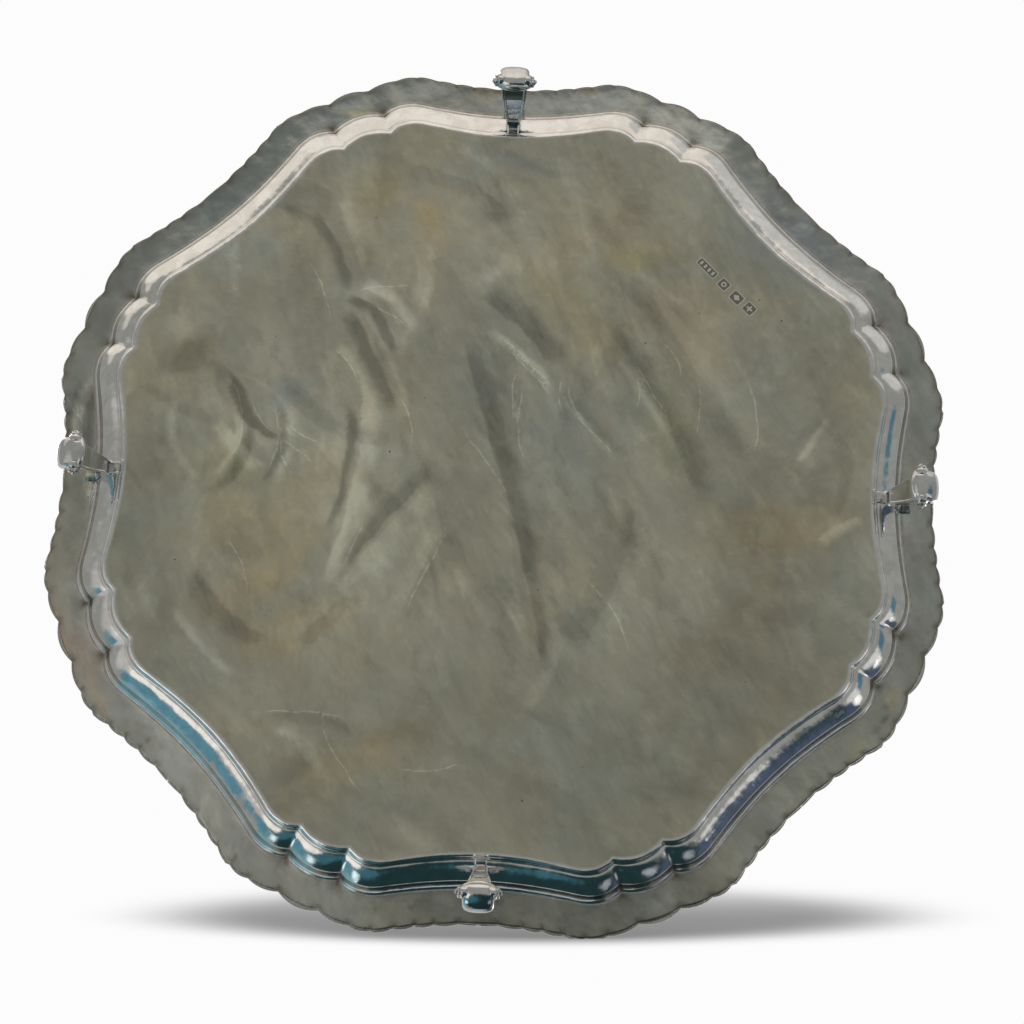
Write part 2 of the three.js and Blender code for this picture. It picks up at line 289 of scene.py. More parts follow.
# ---- Marks of handling and tarnish, with painted light and shade ------------------------------
# Marks on the well's underside, in millimetres on the plate seen from below (x right, y up).
# A streak is an arc through three points with one crisp edge, which fades over its width.
STREAKS = [
    # start, middle, end, width (to the left of its run if positive), change of brightness
    ((-15, 54), (-1, 8), (12, -36), 8, -0.24),
    ((6, -14), (13, -40), (16, -66), 5, -0.22),
    ((0, 2), (7, -26), (13, -56), -8, 0.09),
    ((-11, 65), (4, 55), (18, 38), 9, -0.24),
    ((-5, 55), (8, 45), (20, 30), -4, 0.22),
    ((18, 34), (30, 20), (43, 7), 4, -0.14),
    ((20, 33), (31, 19), (42, 7), -2, 0.16),
    ((30, 60), (52, 28), (68, -12), 9, -0.18),
    ((38, 48), (49, 32), (58, 16), -3, 0.17),
    ((44, 78), (68, 38), (91, 5), -11, -0.11),
    ((58, 56), (76, 28), (90, 8), 7, 0.09),
    ((-66, 96), (-57, 80), (-50, 64), -5, -0.24),
    ((-60, 100), (-54, 85), (-49, 70), 4, 0.20),
    ((-86, 99), (-72, 95), (-58, 84), -5, -0.15),
    ((-53, 64.5), (-43, 58), (-35, 43), -4, -0.38),
    ((-50, 67), (-40, 61), (-31, 49), 6, 0.20),
    ((-52, 60), (-43, 42), (-33, 22), -6, -0.32),
    ((-50, 62), (-41, 43), (-31, 24), 3, 0.12),
    ((-60, 47), (-50, 36), (-47, 14), 4, 0.18),
    ((-52, 27), (-51.5, 4), (-57, -20), 3.6, -0.34),
    ((-48, 36), (-47, 4), (-59, -40), 8, 0.26),
    ((-50, -2), (-51, -16), (-55, -26), 4, 0.16),
    ((-98, 40), (-82.5, 20), (-95, -11), -5, -0.28),
    ((-94, 37), (-86, 21), (-94, -4), -3, 0.24),
    ((-77, 27), (-74.5, 12), (-80, -5), 4, -0.18),
    ((-74, 26), (-71, 12), (-77, -4), 4, 0.18),
    ((-20, 3), (-36, -15), (-51, -37), -6, -0.24),
    ((-20, 1), (-36, -17), (-53, -41), 10, 0.15),
    ((-42, -32), (-54, -46), (-66, -58), 7, -0.13),
    ((-14, -15), (-24, -34), (-30, -51), 10, -0.11),
    ((-15, -15), (-25, -34), (-31, -51), -7, 0.13),
    ((46, -4), (42, -28), (28, -60), -12, -0.14),
    ((48, -8), (44, -30), (31, -58), 6, 0.07),
    ((26, -50), (20, -66), (13, -80), -6, 0.12),
    ((-80, -83), (-62, -80.5), (-41, -84), -6, -0.14),
    ((-71, -87), (-60, -92), (-54, -103), 5, 0.18),
    ((28, 78), (40, 69), (51, 53), 7, -0.12),
    ((-38, 112), (-16, 108), (3, 94), -8, -0.14),
    ((-22, 120), (-8, 111), (4, 97), 6, 0.13),
    ((97, 11), (103, 18), (110, 28), -3, 0.22),
    ((105, -16), (113, -11), (121, -6), -4, 0.22),
    ((-10, 44), (6, 30), (9, 4), -5, 0.07),
    ((22, 30), (18, 16), (20, -6), 7, -0.10),
    ((-26, 84), (-24, 72), (-27, 58), -4, 0.15),
]
LOOSE_STREAKS = 150                # small marks strewn between them
# Thin light lines: start, middle, end.
HAIRLINES = [
    ((-4, 53), (8, 43), (18, 31)),
    ((0, 48), (9, 39), (17, 29)),
    ((22, 27), (31, 18), (42, 7)),
    ((22, 36), (24, 28), (30, 21)),
    ((21, 38), (19.5, 31), (22, 24)),
    ((-53, 64.5), (-42, 67), (-29, 68)),
    ((-80, -82.6), (-62, -80), (-42, -83.6)),
    ((-95, 35), (-86.5, 21), (-92, 1)),
    ((-77, 27), (-74, 12), (-78, -3)),
    ((-61, 46), (-53, 41), (-48.5, 31)),
    ((-50, -31), (-46, -22), (-44, -13)),
    ((43, 45), (50, 34), (57, 22)),
    ((-15, 21), (-4, 7), (5, -7)),
    ((8, 37), (5.6, 22), (10, 5)),
    ((-73, 20), (-66, 13.5), (-57, 10)),
    ((-75, 14), (-67, 8), (-60, 1)),
    ((5, 19), (3.5, 30), (6, 41)),
    ((-14, -16), (-24, -34.5), (-29, -48)),
    ((-70, 78), (-62, 66), (-58, 52)),
    ((28, -30), (40, -44), (46, -60)),
    ((-36, 30), (-30, 20), (-30, 8)),
    ((-92, -20), (-84, -30), (-80, -44)),
]
# A patch is a soft spot: centre, half sizes, turn in degrees, strength, tint. The light and shade tints
# are painted light and painted shade.
WARM, OLIVE, DARK, PALE, BLUE, PINK, PAINTED_LIGHT, PAINTED_SHADE = range(8)
TINTS = {
    WARM: (1.15, 1.02, 0.84),
    OLIVE: (1.06, 1.02, 0.78),
    DARK: (0.62, 0.60, 0.58),
    PALE: (1.32, 1.32, 1.36),
    BLUE: (0.92, 1.02, 1.18),
    PINK: (1.14, 0.98, 0.92),
    PAINTED_LIGHT: (1.30, 1.30, 1.30),
    PAINTED_SHADE: (0.74, 0.74, 0.74),
}
PATCHES = [
    # The first seven patches are painted light and shade: broad lighter and darker areas of the well.
    (-62, -15, 44, 62, 12, 0.50, PAINTED_LIGHT),
    (28, 76, 26, 16, 0, 0.35, PAINTED_LIGHT),
    (98, 0, 30, 62, -4, 0.60, PAINTED_SHADE),
    (-52, -18, 26, 18, 0, 0.22, PAINTED_SHADE),
    (-10, -106, 46, 14, 0, 0.25, PAINTED_SHADE),
    (52, -86, 58, 30, 20, 0.50, PAINTED_SHADE),
    (0, 112, 70, 14, 0, 0.35, PAINTED_SHADE),
    (-70, -22, 34, 12, 55, 0.75, WARM),
    (-66, -52, 26, 10, 30, 0.55, WARM),
    (104, -8, 24, 10, 10, 0.80, WARM),
    (-27, 91, 6, 11, 15, 0.85, WARM),
    (-38, -96, 26, 7, 25, 0.60, WARM),
    (46, 82, 12, 7, 20, 0.70, OLIVE),
    (-48, 104, 12, 10, 0, 0.60, OLIVE),
    (88, -52, 34, 26, 30, 0.35, DARK),
    (-106, 42, 12, 7, 20, 0.85, DARK),
    (-112, 6, 12, 18, 0, 0.45, DARK),
    (-70, 100, 16, 9, 130, 0.45, DARK),
    (0, 94, 10, 6, 0, 0.45, DARK),
    (-52, 76, 10, 16, 30, 0.40, DARK),
    (-5, 72, 9, 4, 15, 0.80, PALE),
    (-44, 66, 12, 4, 5, 0.80, PALE),
    (-26, 70, 4, 13, 0, 0.60, PALE),
    (-32, 52, 10, 10, 60, 0.55, PALE),
    (-52, -18, 5, 20, 12, 0.50, PALE),
    (-109, 50, 5, 6, 0, 0.80, PALE),
    (-90, 10, 10, 5, 40, 0.60, PALE),
    (104, 16, 8, 4, 40, 0.60, PALE),
    (112, -9, 10, 4, 25, 0.55, PALE),
    (-10, -50, 26, 22, 0, 0.16, PALE),
    (52, -40, 16, 22, 0, 0.12, PALE),
    (-66, 30, 10, 7, 30, 0.70, BLUE),
    (-88, 74, 14, 10, 40, 0.50, BLUE),
    (92, 86, 30, 18, 130, 0.55, BLUE),
    (-8, 112, 22, 7, 0, 0.45, BLUE),
    (8, 20, 30, 40, 20, 0.30, BLUE),
    (66, 54, 18, 12, 120, 0.40, PINK),
    (28, 86, 22, 5, 30, 0.45, PINK),
    (8, 70, 12, 8, 0, 0.35, OLIVE),
    (24, 60, 20, 12, 130, 0.35, OLIVE),
    (60, 22, 22, 12, 110, 0.30, OLIVE),
    (-88, -4, 12, 20, 10, 0.45, OLIVE),
    (-60, -100, 16, 8, 20, 0.40, DARK),
    (70, -96, 20, 12, 0, 0.30, DARK),
]
# The rim's underside: angle on the plate seen from below, colour against the well's. This is painted
# light and shade: lighter, darker and bluer by angle as the light falls.
RIM_PAINTED_LIGHT = [
    (0, (0.86, 0.89, 1.00)),
    (45, (0.79, 0.87, 1.06)),
    (90, (0.56, 0.62, 0.74)),
    (135, (0.60, 0.68, 0.82)),
    (180, (0.90, 0.92, 0.98)),
    (225, (1.25, 1.29, 1.48)),
    (270, (0.68, 0.69, 0.72)),
    (315, (0.96, 1.00, 1.10)),
    (360, (0.86, 0.89, 1.00)),
]
# Stains on the rim's underside: angle on the plate seen from below, radius, then as a patch.
RIM_STAINS = [
    (94, 142, 7, 3, 0.85, WARM),
    (111, 143, 7, 3, 1.0, OLIVE),
    (111, 143, 5, 2, 0.80, PALE),
    (67, 149.5, 2, 1, 0.90, DARK),
    (79, 149, 7, 2, 0.70, WARM),
    (147, 151, 3, 1.5, 0.80, WARM),
    (205, 148, 20, 6, 0.75, PINK),
    (200, 151, 12, 2.5, 0.70, WARM),
    (211, 150, 9, 2, 0.70, WARM),
    (237, 145, 1.2, 1.2, 0.95, DARK),
    (293, 150, 4, 3, 0.60, PALE),
    (325, 147, 6, 3, 0.85, OLIVE),
    (329, 150, 4, 1.2, 1.0, DARK),
    (331, 147, 3, 0.8, 1.0, DARK),
    (222, 143, 2.4, 0.6, 1.0, DARK),
    (219, 144, 1.6, 0.6, 1.0, DARK),
    (332, 148, 6, 2.5, 0.80, WARM),
    (45, 150, 26, 4, 0.50, BLUE),
    (135, 148, 26, 5, 0.40, DARK),
]


# ---- Patina of the underside, with painted light and shade ------------------------------------
LATTICE = 256                      # random values along each side, before the noise repeats
# Feature size, seed, where the noise is cut, change of brightness.
FLAKES = [
    (24, 81, 0.10, 0.08),
    (15, 85, 0.16, -0.075),
    (10, 89, 0.22, 0.075),
    (7, 93, 0.26, -0.07),
    (4.5, 97, 0.30, 0.08),
]


def lattice_noise(x, y, size, seed):
    """Smooth noise from 0 to 1 whose features are about `size` millimetres across."""
    lattice = np.random.default_rng(seed).random((LATTICE, LATTICE))
    u, v = x / size + LATTICE / 2, y / size + LATTICE / 2
    i, j = np.floor(u).astype(int), np.floor(v).astype(int)
    fu, fv = smooth_step(u - i, 0, 1), smooth_step(v - j, 0, 1)

    def row(k):
        k = k % LATTICE
        return lattice[i % LATTICE, k] * (1 - fu) + lattice[(i + 1) % LATTICE, k] * fu

    return row(j) * (1 - fv) + row(j + 1) * fv


def cloud(x, y, size, seed, octaves=4, gain=0.55):
    """Layered noise from about -1 to 1."""
    total, weight = 0.0, 0.0
    for octave in range(octaves):
        total = total + gain ** octave * (lattice_noise(x, y, size / 2 ** octave, seed + octave) - 0.5)
        weight += gain ** octave
    return 2.6 * total / weight


def circle_through(first, second, third):
    """Centre and radius of the circle through three points, the middle one nudged off a line."""
    (ax, ay), (bx, by), (cx, cy) = first, second, third
    bx += 0.0137
    turn = 2 * (ax * (by - cy) + bx * (cy - ay) + cx * (ay - by))
    sums = [ax * ax + ay * ay, bx * bx + by * by, cx * cx + cy * cy]
    x = (sums[0] * (by - cy) + sums[1] * (cy - ay) + sums[2] * (ay - by)) / turn
    y = (sums[0] * (cx - bx) + sums[1] * (ax - cx) + sums[2] * (bx - ax)) / turn
    return (x, y), math.hypot(ax - x, ay - y)


def streak(x, y, start, middle, end, width):
    """How much one streak shows at each place, from 0 to 1."""
    centre, radius = circle_through(start, middle, end)
    run = np.subtract(end, start)
    left = np.array([-run[1], run[0]])
    outward = np.dot(left, np.subtract(middle, centre)) > 0
    side = 1 if (width > 0) == outward else -1
    inside = side * (np.hypot(x - centre[0], y - centre[1]) - radius)
    fade = smooth_step(inside, 0.4 * abs(width), 1.15 * abs(width))
    shape = smooth_step(inside, -0.5, 0.7) * (1 - fade)
    half = np.hypot(*run) / 2
    mid = np.add(start, end) / 2
    along = ((x - mid[0]) * run[0] + (y - mid[1]) * run[1]) / (2 * half * half)
    return shape * (1 - smooth_step(np.abs(along), 0.66, 1.0))


def spot(x, y, at_x, at_y, half_long, half_wide, turn):
    """A soft elliptical spot, 1 at its centre."""
    c, s = math.cos(math.radians(turn)), math.sin(math.radians(turn))
    along = ((x - at_x) * c + (y - at_y) * s) / half_long
    across = ((y - at_y) * c - (x - at_x) * s) / half_wide
    return 1 - smooth_step(np.hypot(along, across), 0.3, 1.3)


def loose_streaks():
    """Small wiping marks that follow the larger ones, from a fixed seed."""
    draw = np.random.default_rng(11)
    for _ in range(LOOSE_STREAKS):
        x, y = draw.uniform(-110, 110, 2)
        heading = math.radians(draw.normal(-62 - 0.25 * (x + 40) * (x < -20), 16))
        length, bow = draw.uniform(8, 34), draw.normal(0, 0.10)
        run = length * np.array([math.cos(heading), math.sin(heading)])
        middle = np.array([x, y]) + run / 2 + bow * np.array([-run[1], run[0]])
        width = draw.uniform(1.6, 6.0) * draw.choice([-1, 1])
        change = draw.choice([-1, 1]) * draw.uniform(0.03, 0.10)
        yield (x, y), tuple(middle), (x + run[0], y + run[1]), width, change


def wander(x, y, amount, size, seed, octaves=4):
    """Offsets of about `amount` millimetres along x and y, which change over `size` millimetres."""
    return amount * np.array([cloud(x, y, size, seed + i, octaves) for i in range(2)])


def brushed(x, y, turn, size, seed, octaves=4):
    """Layered noise drawn out along one direction, in degrees."""
    c, s = math.cos(math.radians(turn)), math.sin(math.radians(turn))
    return cloud((x * c + y * s) / 2.6, y * c - x * s, size, seed, octaves)


def patina_and_painted_light(x, y):
    """Colour of the underside, as a share of the clean satin's, with painted light and shade, and how
    far it is wiped.
    """
    warp_x, warp_y = (x, y) + wander(x, y, 6, 34, 1)
    fine_x, fine_y = (warp_x, warp_y) + wander(x, y, 2.2, 8, 3)
    mark_x, mark_y = (x, y) + wander(x, y, 1.0, 10, 5, 3)
    # The direction of wiping, in degrees, differs to the left and at the bottom.
    left = smooth_step(-warp_x, 5, 50)
    low = smooth_step(-warp_y, 40, 90)
    tone = 1 + 0.12 * cloud(warp_x, warp_y, 46, 20)
    for turn, share in ((-58, (1 - left) * (1 - low)), (-84, left * (1 - low)), (-25, low)):
        drawn = 0.10 * brushed(warp_x, warp_y, turn, 12, 30, 5)
        # Flakes of tarnish wiped off, or left on, with fairly crisp edges.
        for size, seed, cut, amount in FLAKES:
            drawn += amount * smooth_step(brushed(mark_x, mark_y, turn, size, seed), cut, cut + 0.09)
        tone = tone + share * drawn
    tone = tone + 0.07 * cloud(fine_x, fine_y, 6, 40, 4, 0.65)
    hue = cloud(warp_x, warp_y, 30, 50) + 0.6 * cloud(fine_x, fine_y, 11, 54)
    colour = np.stack([tone * (1 + 0.042 * hue), tone, tone * (1 - 0.056 * hue)], -1)
    spots = list(PATCHES)
    for angle, radius, half_long, half_wide, strength, tint in RIM_STAINS:
        place = (radius * math.cos(math.radians(angle)), radius * math.sin(math.radians(angle)))
        spots.append((*place, half_long, half_wide, angle + 90, strength, tint))
    # Spots: stains and tints, and the patches of painted light and shade.
    for at_x, at_y, half_long, half_wide, angle, strength, tint in spots:
        share = strength * spot(fine_x, fine_y, at_x, at_y, half_long, half_wide, angle)
        share = share * np.clip(1 + 0.45 * cloud(x, y, 6, 60), 0, 1.4)
        colour *= 1 + share[:, None] * (np.array(TINTS[tint]) - 1)
    swipes = np.zeros_like(x)
    for start, middle, end, width, amount in [*STREAKS, *loose_streaks()]:
        swipes += amount * streak(mark_x, mark_y, start, middle, end, width)
    # Painted light and shade round the rim, which change with the angle.
    degrees = np.degrees(np.arctan2(y, x)) % 360
    angles, rim_light_and_shade = zip(*RIM_PAINTED_LIGHT)
    rim = np.stack([np.interp(degrees, angles, channel) for channel in zip(*rim_light_and_shade)], -1)
    on_rim = smooth_step(np.hypot(x, y) - well_edge(degrees), STEP_WIDTH - 1, STEP_WIDTH + 1)
    colour *= 1 + on_rim[:, None] * (rim - 1)
    colour *= 1 + 0.50 * np.clip(swipes, -0.5, 0.5)[:, None]
    return np.clip(colour, 0.08, 2.5), swipes


def hairline_masks(x, y):
    """How far to the side of the nearest hairline each place is, and how much that line shows."""
    x, y = (x, y) + wander(x, y, 0.9, 9, 5, 3)
    aside, shown, nearest = np.full(x.shape, 9.0), np.zeros(x.shape), np.full(x.shape, 9.0)
    for start, middle, end in HAIRLINES:
        centre, radius = circle_through(start, middle, end)
        off = np.hypot(x - centre[0], y - centre[1]) - radius
        run = np.subtract(end, start)
        mid = np.add(start, end) / 2
        along = np.abs((x - mid[0]) * run[0] + (y - mid[1]) * run[1]) / np.dot(run, run) * 2
        away = np.abs(off) + 6 * np.maximum(along - 1, 0)
        closer = away < nearest
        nearest = np.where(closer, away, nearest)
        aside = np.where(closer, off, aside)
        strength = (1 - smooth_step(away, 1.2, 2.2)) * (1 - smooth_step(along, 0.4, 1))
        shown = np.where(closer, strength, shown)
    return aside, shown


# ---- Materials --------------------------------------------------------------------------------
SWIPE_LEVELS = [                   # level, change of brightness above it
    (-0.25, 0.09), (-0.16, 0.09), (-0.08, 0.08), (0.06, 0.07), (0.125, 0.08), (0.19, 0.08)]


def plate_material():
    """Tarnished, handled silver sheet, brighter on the moulded step and on the top."""
    material = bpy.data.materials.new("tarnished_sheet_silver")
    tree = Tree(material)
    place = tree.place()
    stretched = tree.drawn_out(place, 60, 2.8)
    grain = tree.noise(place, 0.50, 5.0, 0.66)
    smears = tree.noise(stretched, 0.17, 4.0, 0.58, 0.8)
    scratches = tree.step(tree.noise(tree.drawn_out(place, 48, 40.0), 2.4, 1.5, 0.5, 0.35), 0.70, 0.76)
    # Satin tarnish, darkened and stained as painted, with the painted light and shade, and a fine
    # grain.
    colour = tree.mix(1.0, tree.node("ShaderNodeAttribute", attribute_name="patina_and_painted_light").outputs["Color"],
                      SATIN, "MULTIPLY")
    colour = tree.scale_colour(colour, tree.step(grain, 0.22, 0.80, 0.965, 1.035))
    colour = tree.scale_colour(colour, tree.step(smears, 0.46, 0.53, 0.97, 1.035))
    # Marks of wiping end in crisp, slightly ragged edges: each one crosses a few fixed levels.
    ragged = tree.noise(stretched, 0.55, 4.0, 0.65, 0.8)
    level = tree.math("ADD", tree.attribute("swipes"), tree.step(ragged, 0.2, 0.8, -0.05, 0.05))
    swipe = 1.0 - sum(change for edge, change in SWIPE_LEVELS if edge < 0)
    for edge, change in SWIPE_LEVELS:
        swipe = tree.math("ADD", swipe, tree.step(level, edge - 0.012, edge + 0.012, 0.0, change))
    colour = tree.scale_colour(colour, swipe)
    aside = tree.math("ABSOLUTE", tree.attribute("hairline_side"))
    hairline = tree.math("MULTIPLY", tree.step(aside, 0.12, 0.42, 1.0, 0.0), tree.attribute("hairline"))
    hairline = tree.math("MULTIPLY", hairline, tree.step(grain, 0.40, 0.55, 0.35, 1.0))
    colour = tree.scale_colour(colour, tree.step(hairline, 0.0, 1.0, 1.0, 1.35))
    colour = tree.mix(tree.math("MULTIPLY", scratches, 0.08), colour, (0.85, 0.84, 0.80))
    specks = tree.node("ShaderNodeTexVoronoi", {"Vector": place, "Scale": 0.12}, feature="F1").outputs
    speck_size = tree.math("MULTIPLY", specks["Color"], 0.045)
    speck = tree.step(tree.math("SUBTRACT", specks["Distance"], speck_size), 0.0, 0.02, 1.0, 0.0)
    speck = tree.math("MULTIPLY", speck, tree.step(grain, 0.46, 0.60))
    colour = tree.mix(tree.math("MULTIPLY", speck, 0.75), colour, (0.06, 0.05, 0.03))
    # The polished step, the cleaner top, and the brown tarnish left in the corners, with painted shade
    # along the rim's outer edge.
    polish = tree.attribute("polish")
    tarnish_and_shade = tree.attribute("tarnish_and_shade")
    top = tree.attribute("top")
    worn = tree.math("MULTIPLY", polish, tree.step(grain, 0.20, 0.55, 0.80, 1.0))
    blotches = tree.noise(place, 0.16, 5.0, 0.62, 0.6)
    step_colour = tree.mix(tree.step(blotches, 0.40, 0.62), (0.78, 0.765, 0.73), (0.90, 0.89, 0.87))
    colour = tree.mix(worn, colour, step_colour)
    top_colour = tree.mix(tree.step(blotches, 0.35, 0.70), (0.88, 0.87, 0.84), (0.80, 0.79, 0.75))
    colour = tree.mix(top, colour, top_colour)
    # Brown tarnish in the corners, and painted shade along the rim's outer edge.
    tarnish_and_shade_mix = tree.math("MULTIPLY", tarnish_and_shade, tree.step(grain, 0.25, 0.62, 0.35, 1.0))
    colour = tree.mix(tarnish_and_shade_mix, colour, (0.12, 0.085, 0.05))
    # Roughness: satin well, glossier rim, bright step, with smears.
    shine = tree.math("MAXIMUM", polish, tree.math("MULTIPLY", top, 0.92))
    shine = tree.math("MAXIMUM", shine, tree.math("MULTIPLY", tree.attribute("rim"), 0.55))
    satin = tree.step(smears, 0.3, 0.7, 0.37, 0.28)
    bright = tree.step(grain, 0.3, 0.8, 0.13, 0.06)
    rough_mix = tree.node("ShaderNodeMix", data_type="FLOAT")
    for socket, value in zip((rough_mix.inputs[0], rough_mix.inputs[2], rough_mix.inputs[3]),
                             (shine, satin, bright)):
        tree.put(socket, value)
    roughness = tree.math("ADD", rough_mix.outputs[0], tree.math("MULTIPLY", tarnish_and_shade_mix, 0.30))
    waves = tree.noise(place, 0.10, 2.5, 0.5)
    dents = tree.math("MULTIPLY", tree.noise(place, 0.33, 2.0, 0.5),
                      tree.math("MULTIPLY", polish, 0.012))
    fine = tree.math("MULTIPLY", grain, tree.step(top, 0.0, 1.0, 0.04, 0.008))
    relief = tree.math("ADD", waves, fine)
    normal = tree.bump(tree.math("ADD", relief, dents), 0.30, 0.0012)
    tree.metal(colour, roughness, normal)
    return material


def cast_material(name, clean, worn, shine):
    """Bright cast silver, with tarnish in its hollows, painted shade low on the border's outer face,
    and fine wear on its crests.
    """
    material = bpy.data.materials.new(name)
    tree = Tree(material)
    place = tree.place()
    tarnish_and_shade = tree.attribute("tarnish_and_shade")
    cloud = tree.noise(place, 0.12, 4.0, 0.6)
    grain = tree.noise(place, 1.6, 4.0, 0.6)
    colour = tree.mix(tree.step(cloud, 0.3, 0.7), clean, worn)
    # Tarnish in the hollows, and on the border painted shade low on its outer face.
    tarnish_and_shade_mix = tree.math("MULTIPLY", tree.step(tarnish_and_shade, 0.35, 1.0), tree.step(grain, 0.25, 0.6, 0.45, 1.0))
    colour = tree.mix(tarnish_and_shade_mix, colour, (0.17, 0.125, 0.085))
    roughness = tree.math("ADD", tree.step(grain, 0.3, 0.75, shine, shine + 0.07),
                          tree.math("MULTIPLY", tarnish_and_shade_mix, 0.30))
    normal = tree.bump(cloud, 0.15, 0.0006)
    normal = tree.bump(grain, 0.12, 0.00008, normal)
    tree.metal(colour, roughness, normal)
    return material


def mark_material(name, colour, roughness):
    """The floor or the rim of a stamped mark."""
    material = bpy.data.materials.new(name)
    tree = Tree(material)
    grain = tree.noise(tree.place(), 3.0, 4.0)
    shaded = tree.mix(tree.step(grain, 0.3, 0.7), colour, tuple(0.7 * value for value in colour))
    tree.metal(shaded, tree.step(grain, 0.3, 0.7, roughness, roughness + 0.15),
               tree.bump(grain, 0.3, 0.00006))
    return material


# ---- The raised plate -------------------------------------------------------------------------
SATIN = (0.555, 0.537, 0.424)      # colour of the clean underside
PLATE_STEPS = 768                  # points round the underside; the top has half as many
WELL_RINGS = 99
STEP_STATIONS = [                  # distances out from the well's edge, closer where it turns
    -0.5, 0.0, 0.35, 0.75, 1.1, 1.4, 1.62, 1.8, 1.92, 2.1, 2.5, 3.1, 3.8, 4.6, 5.4, 6.2, 7.0, 7.7,
    8.25, 8.4, 8.55, 8.7, 8.9, 9.15, 9.45, 9.8, 10.2, 10.55, STEP_WIDTH, 11.1, 11.5, 12.0]
RIM_SHARES = [0.2, 0.4, 0.6, 0.76, 0.88, 0.95, 1.0]    # of the way over the rim


def stitch(near, far):
    """Faces between two rings of point numbers, where one may have twice as many points."""
    if len(near) > len(far):
        return [face[::-1] for face in stitch(far, near)]
    after = np.roll(near, -1)
    if len(near) == len(far):
        return np.stack([near, after, np.roll(far, -1), far], 1).tolist()
    first, middle, last = far[::2], far[1::2], np.roll(far[::2], -1)
    corners = ((near, middle, first), (near, after, middle), (after, last, middle))
    return np.concatenate([np.stack(corner, 1) for corner in corners]).tolist()


def step_and_rim(degrees):
    """Radius and height over the well of the underside's lines from the well's edge outwards."""
    well, rim = well_edge(degrees), rim_valley(degrees) - RIM_INSET
    across, crown, _ = gadroon(degrees)
    crest = 1 - across ** 2
    width = rim - well - STEP_WIDTH
    radii, heights = [], []
    for out in STEP_STATIONS:
        radii.append(well + out)
        ridge = 0.05 * math.exp(-((out - STEP_WIDTH - 0.3) / 0.25) ** 2)
        slope = (RIM_RISE - STEP_HEIGHT) * max(out - STEP_WIDTH, 0) / width
        heights.append(underside(out) - ridge + slope)
    start = radii[-1]
    for share in RIM_SHARES:
        radii.append(start + (rim + 0.5 * crown * crest * share ** 6 - start) * share)
        slope = (RIM_RISE - STEP_HEIGHT) * (radii[-1] - well - STEP_WIDTH) / width
        heights.append(STEP_HEIGHT + slope - 0.20 * crest * share ** 5)
    radii, heights = np.array(radii), np.array(heights)
    angle = np.radians(degrees)
    x, y = radii * np.cos(angle), radii * np.sin(angle)
    handmade = 0.16 * cloud(x, y, 13, 70, 2) + 0.12 * cloud(x, y, 34, 74, 2)
    return radii, heights + handmade * smooth_step(radii - well, 0, 3)


def top_side(radii, heights):
    """The same lines on the sheet's top, one thickness away square to a smoothed profile."""
    smooth = heights.copy()
    for _ in range(6):
        smooth[1:-1] = (smooth[:-2] + 2 * smooth[1:-1] + smooth[2:]) / 4
    along_r = np.gradient(radii, axis=0)
    along_h = np.gradient(smooth, axis=0)
    length = np.hypot(along_r, along_h)
    return radii - SHEET * along_h / length, heights + SHEET * along_r / length


def under_masks(degrees, radii):
    """How polished, how dark, and how far on the rim the underside's lines are: dark with tarnish in
    the corners and fine lines, and with painted shade at the outer edge.
    """
    out = radii - well_edge(degrees)
    corner = np.exp(-((folded(degrees) - CUSP_ANGLE) / 0.7) ** 2)
    polish = smooth_step(out, -0.3, 0.3) * (1 - smooth_step(out, STEP_WIDTH - 0.2, STEP_WIDTH + 1.0))
    tarnish_and_shade = 0.9 * corner * smooth_step(out, 6.5, 9.5) * (1 - smooth_step(out, 12.0, 15.0))
    foot_line = np.exp(-((out - STEP_WIDTH - 0.2) / 0.45) ** 2)
    fine_lines = np.exp(-((out - 1.95) / 0.16) ** 2) + np.exp(-((out - 8.5) / 0.14) ** 2)
    rim = rim_valley(degrees)
    across, crown, _ = gadroon(degrees)
    outline = rim - RIM_INSET + 0.5 * crown * (1 - across ** 2)
    # Painted shade near the outer edge, between the gadroons, and along the edge itself.
    edge = 0.85 * smooth_step(radii, outline - 2.4, outline - 0.4) * np.abs(across) ** 2.5
    lip = 0.75 * smooth_step(radii, outline - 0.7, outline - 0.2)
    on_rim = smooth_step(out, STEP_WIDTH, STEP_WIDTH + 2.5)
    return polish, np.maximum.reduce([tarnish_and_shade, 0.55 * foot_line, 0.30 * fine_lines, edge, lip]), on_rim


def top_masks(degrees, radii):
    """The same three for the lines on the top."""
    out = radii - well_edge(degrees)
    corner = np.exp(-((folded(degrees) - CUSP_ANGLE) / 0.8) ** 2)
    well_line = 0.55 * np.exp(-((out + 0.7) / 0.6) ** 2)
    tarnish_and_shade = np.maximum(0.6 * corner * smooth_step(out, 1.0, 6.0), well_line)
    polish = smooth_step(out, -0.5, 0.5)
    return polish, tarnish_and_shade * (1 - smooth_step(out, STEP_WIDTH + 1, STEP_WIDTH + 4)), np.zeros_like(out)


def well_rings():
    """Counts and shares of the well's radius, outwards; the rings near the middle are coarser."""
    for i in range(1, WELL_RINGS):
        share = i / WELL_RINGS
        halvings = (share < 0.5) + int(share < 0.25) + int(share < 0.125)
        yield PLATE_STEPS // 2 ** halvings, share


# Points and share of the well's radius, for the rings on the top, inwards.
WELL_TOP_RINGS = [(384, 0.93), (384, 0.85), (192, 0.7), (96, 0.45), (96, 0.2)]


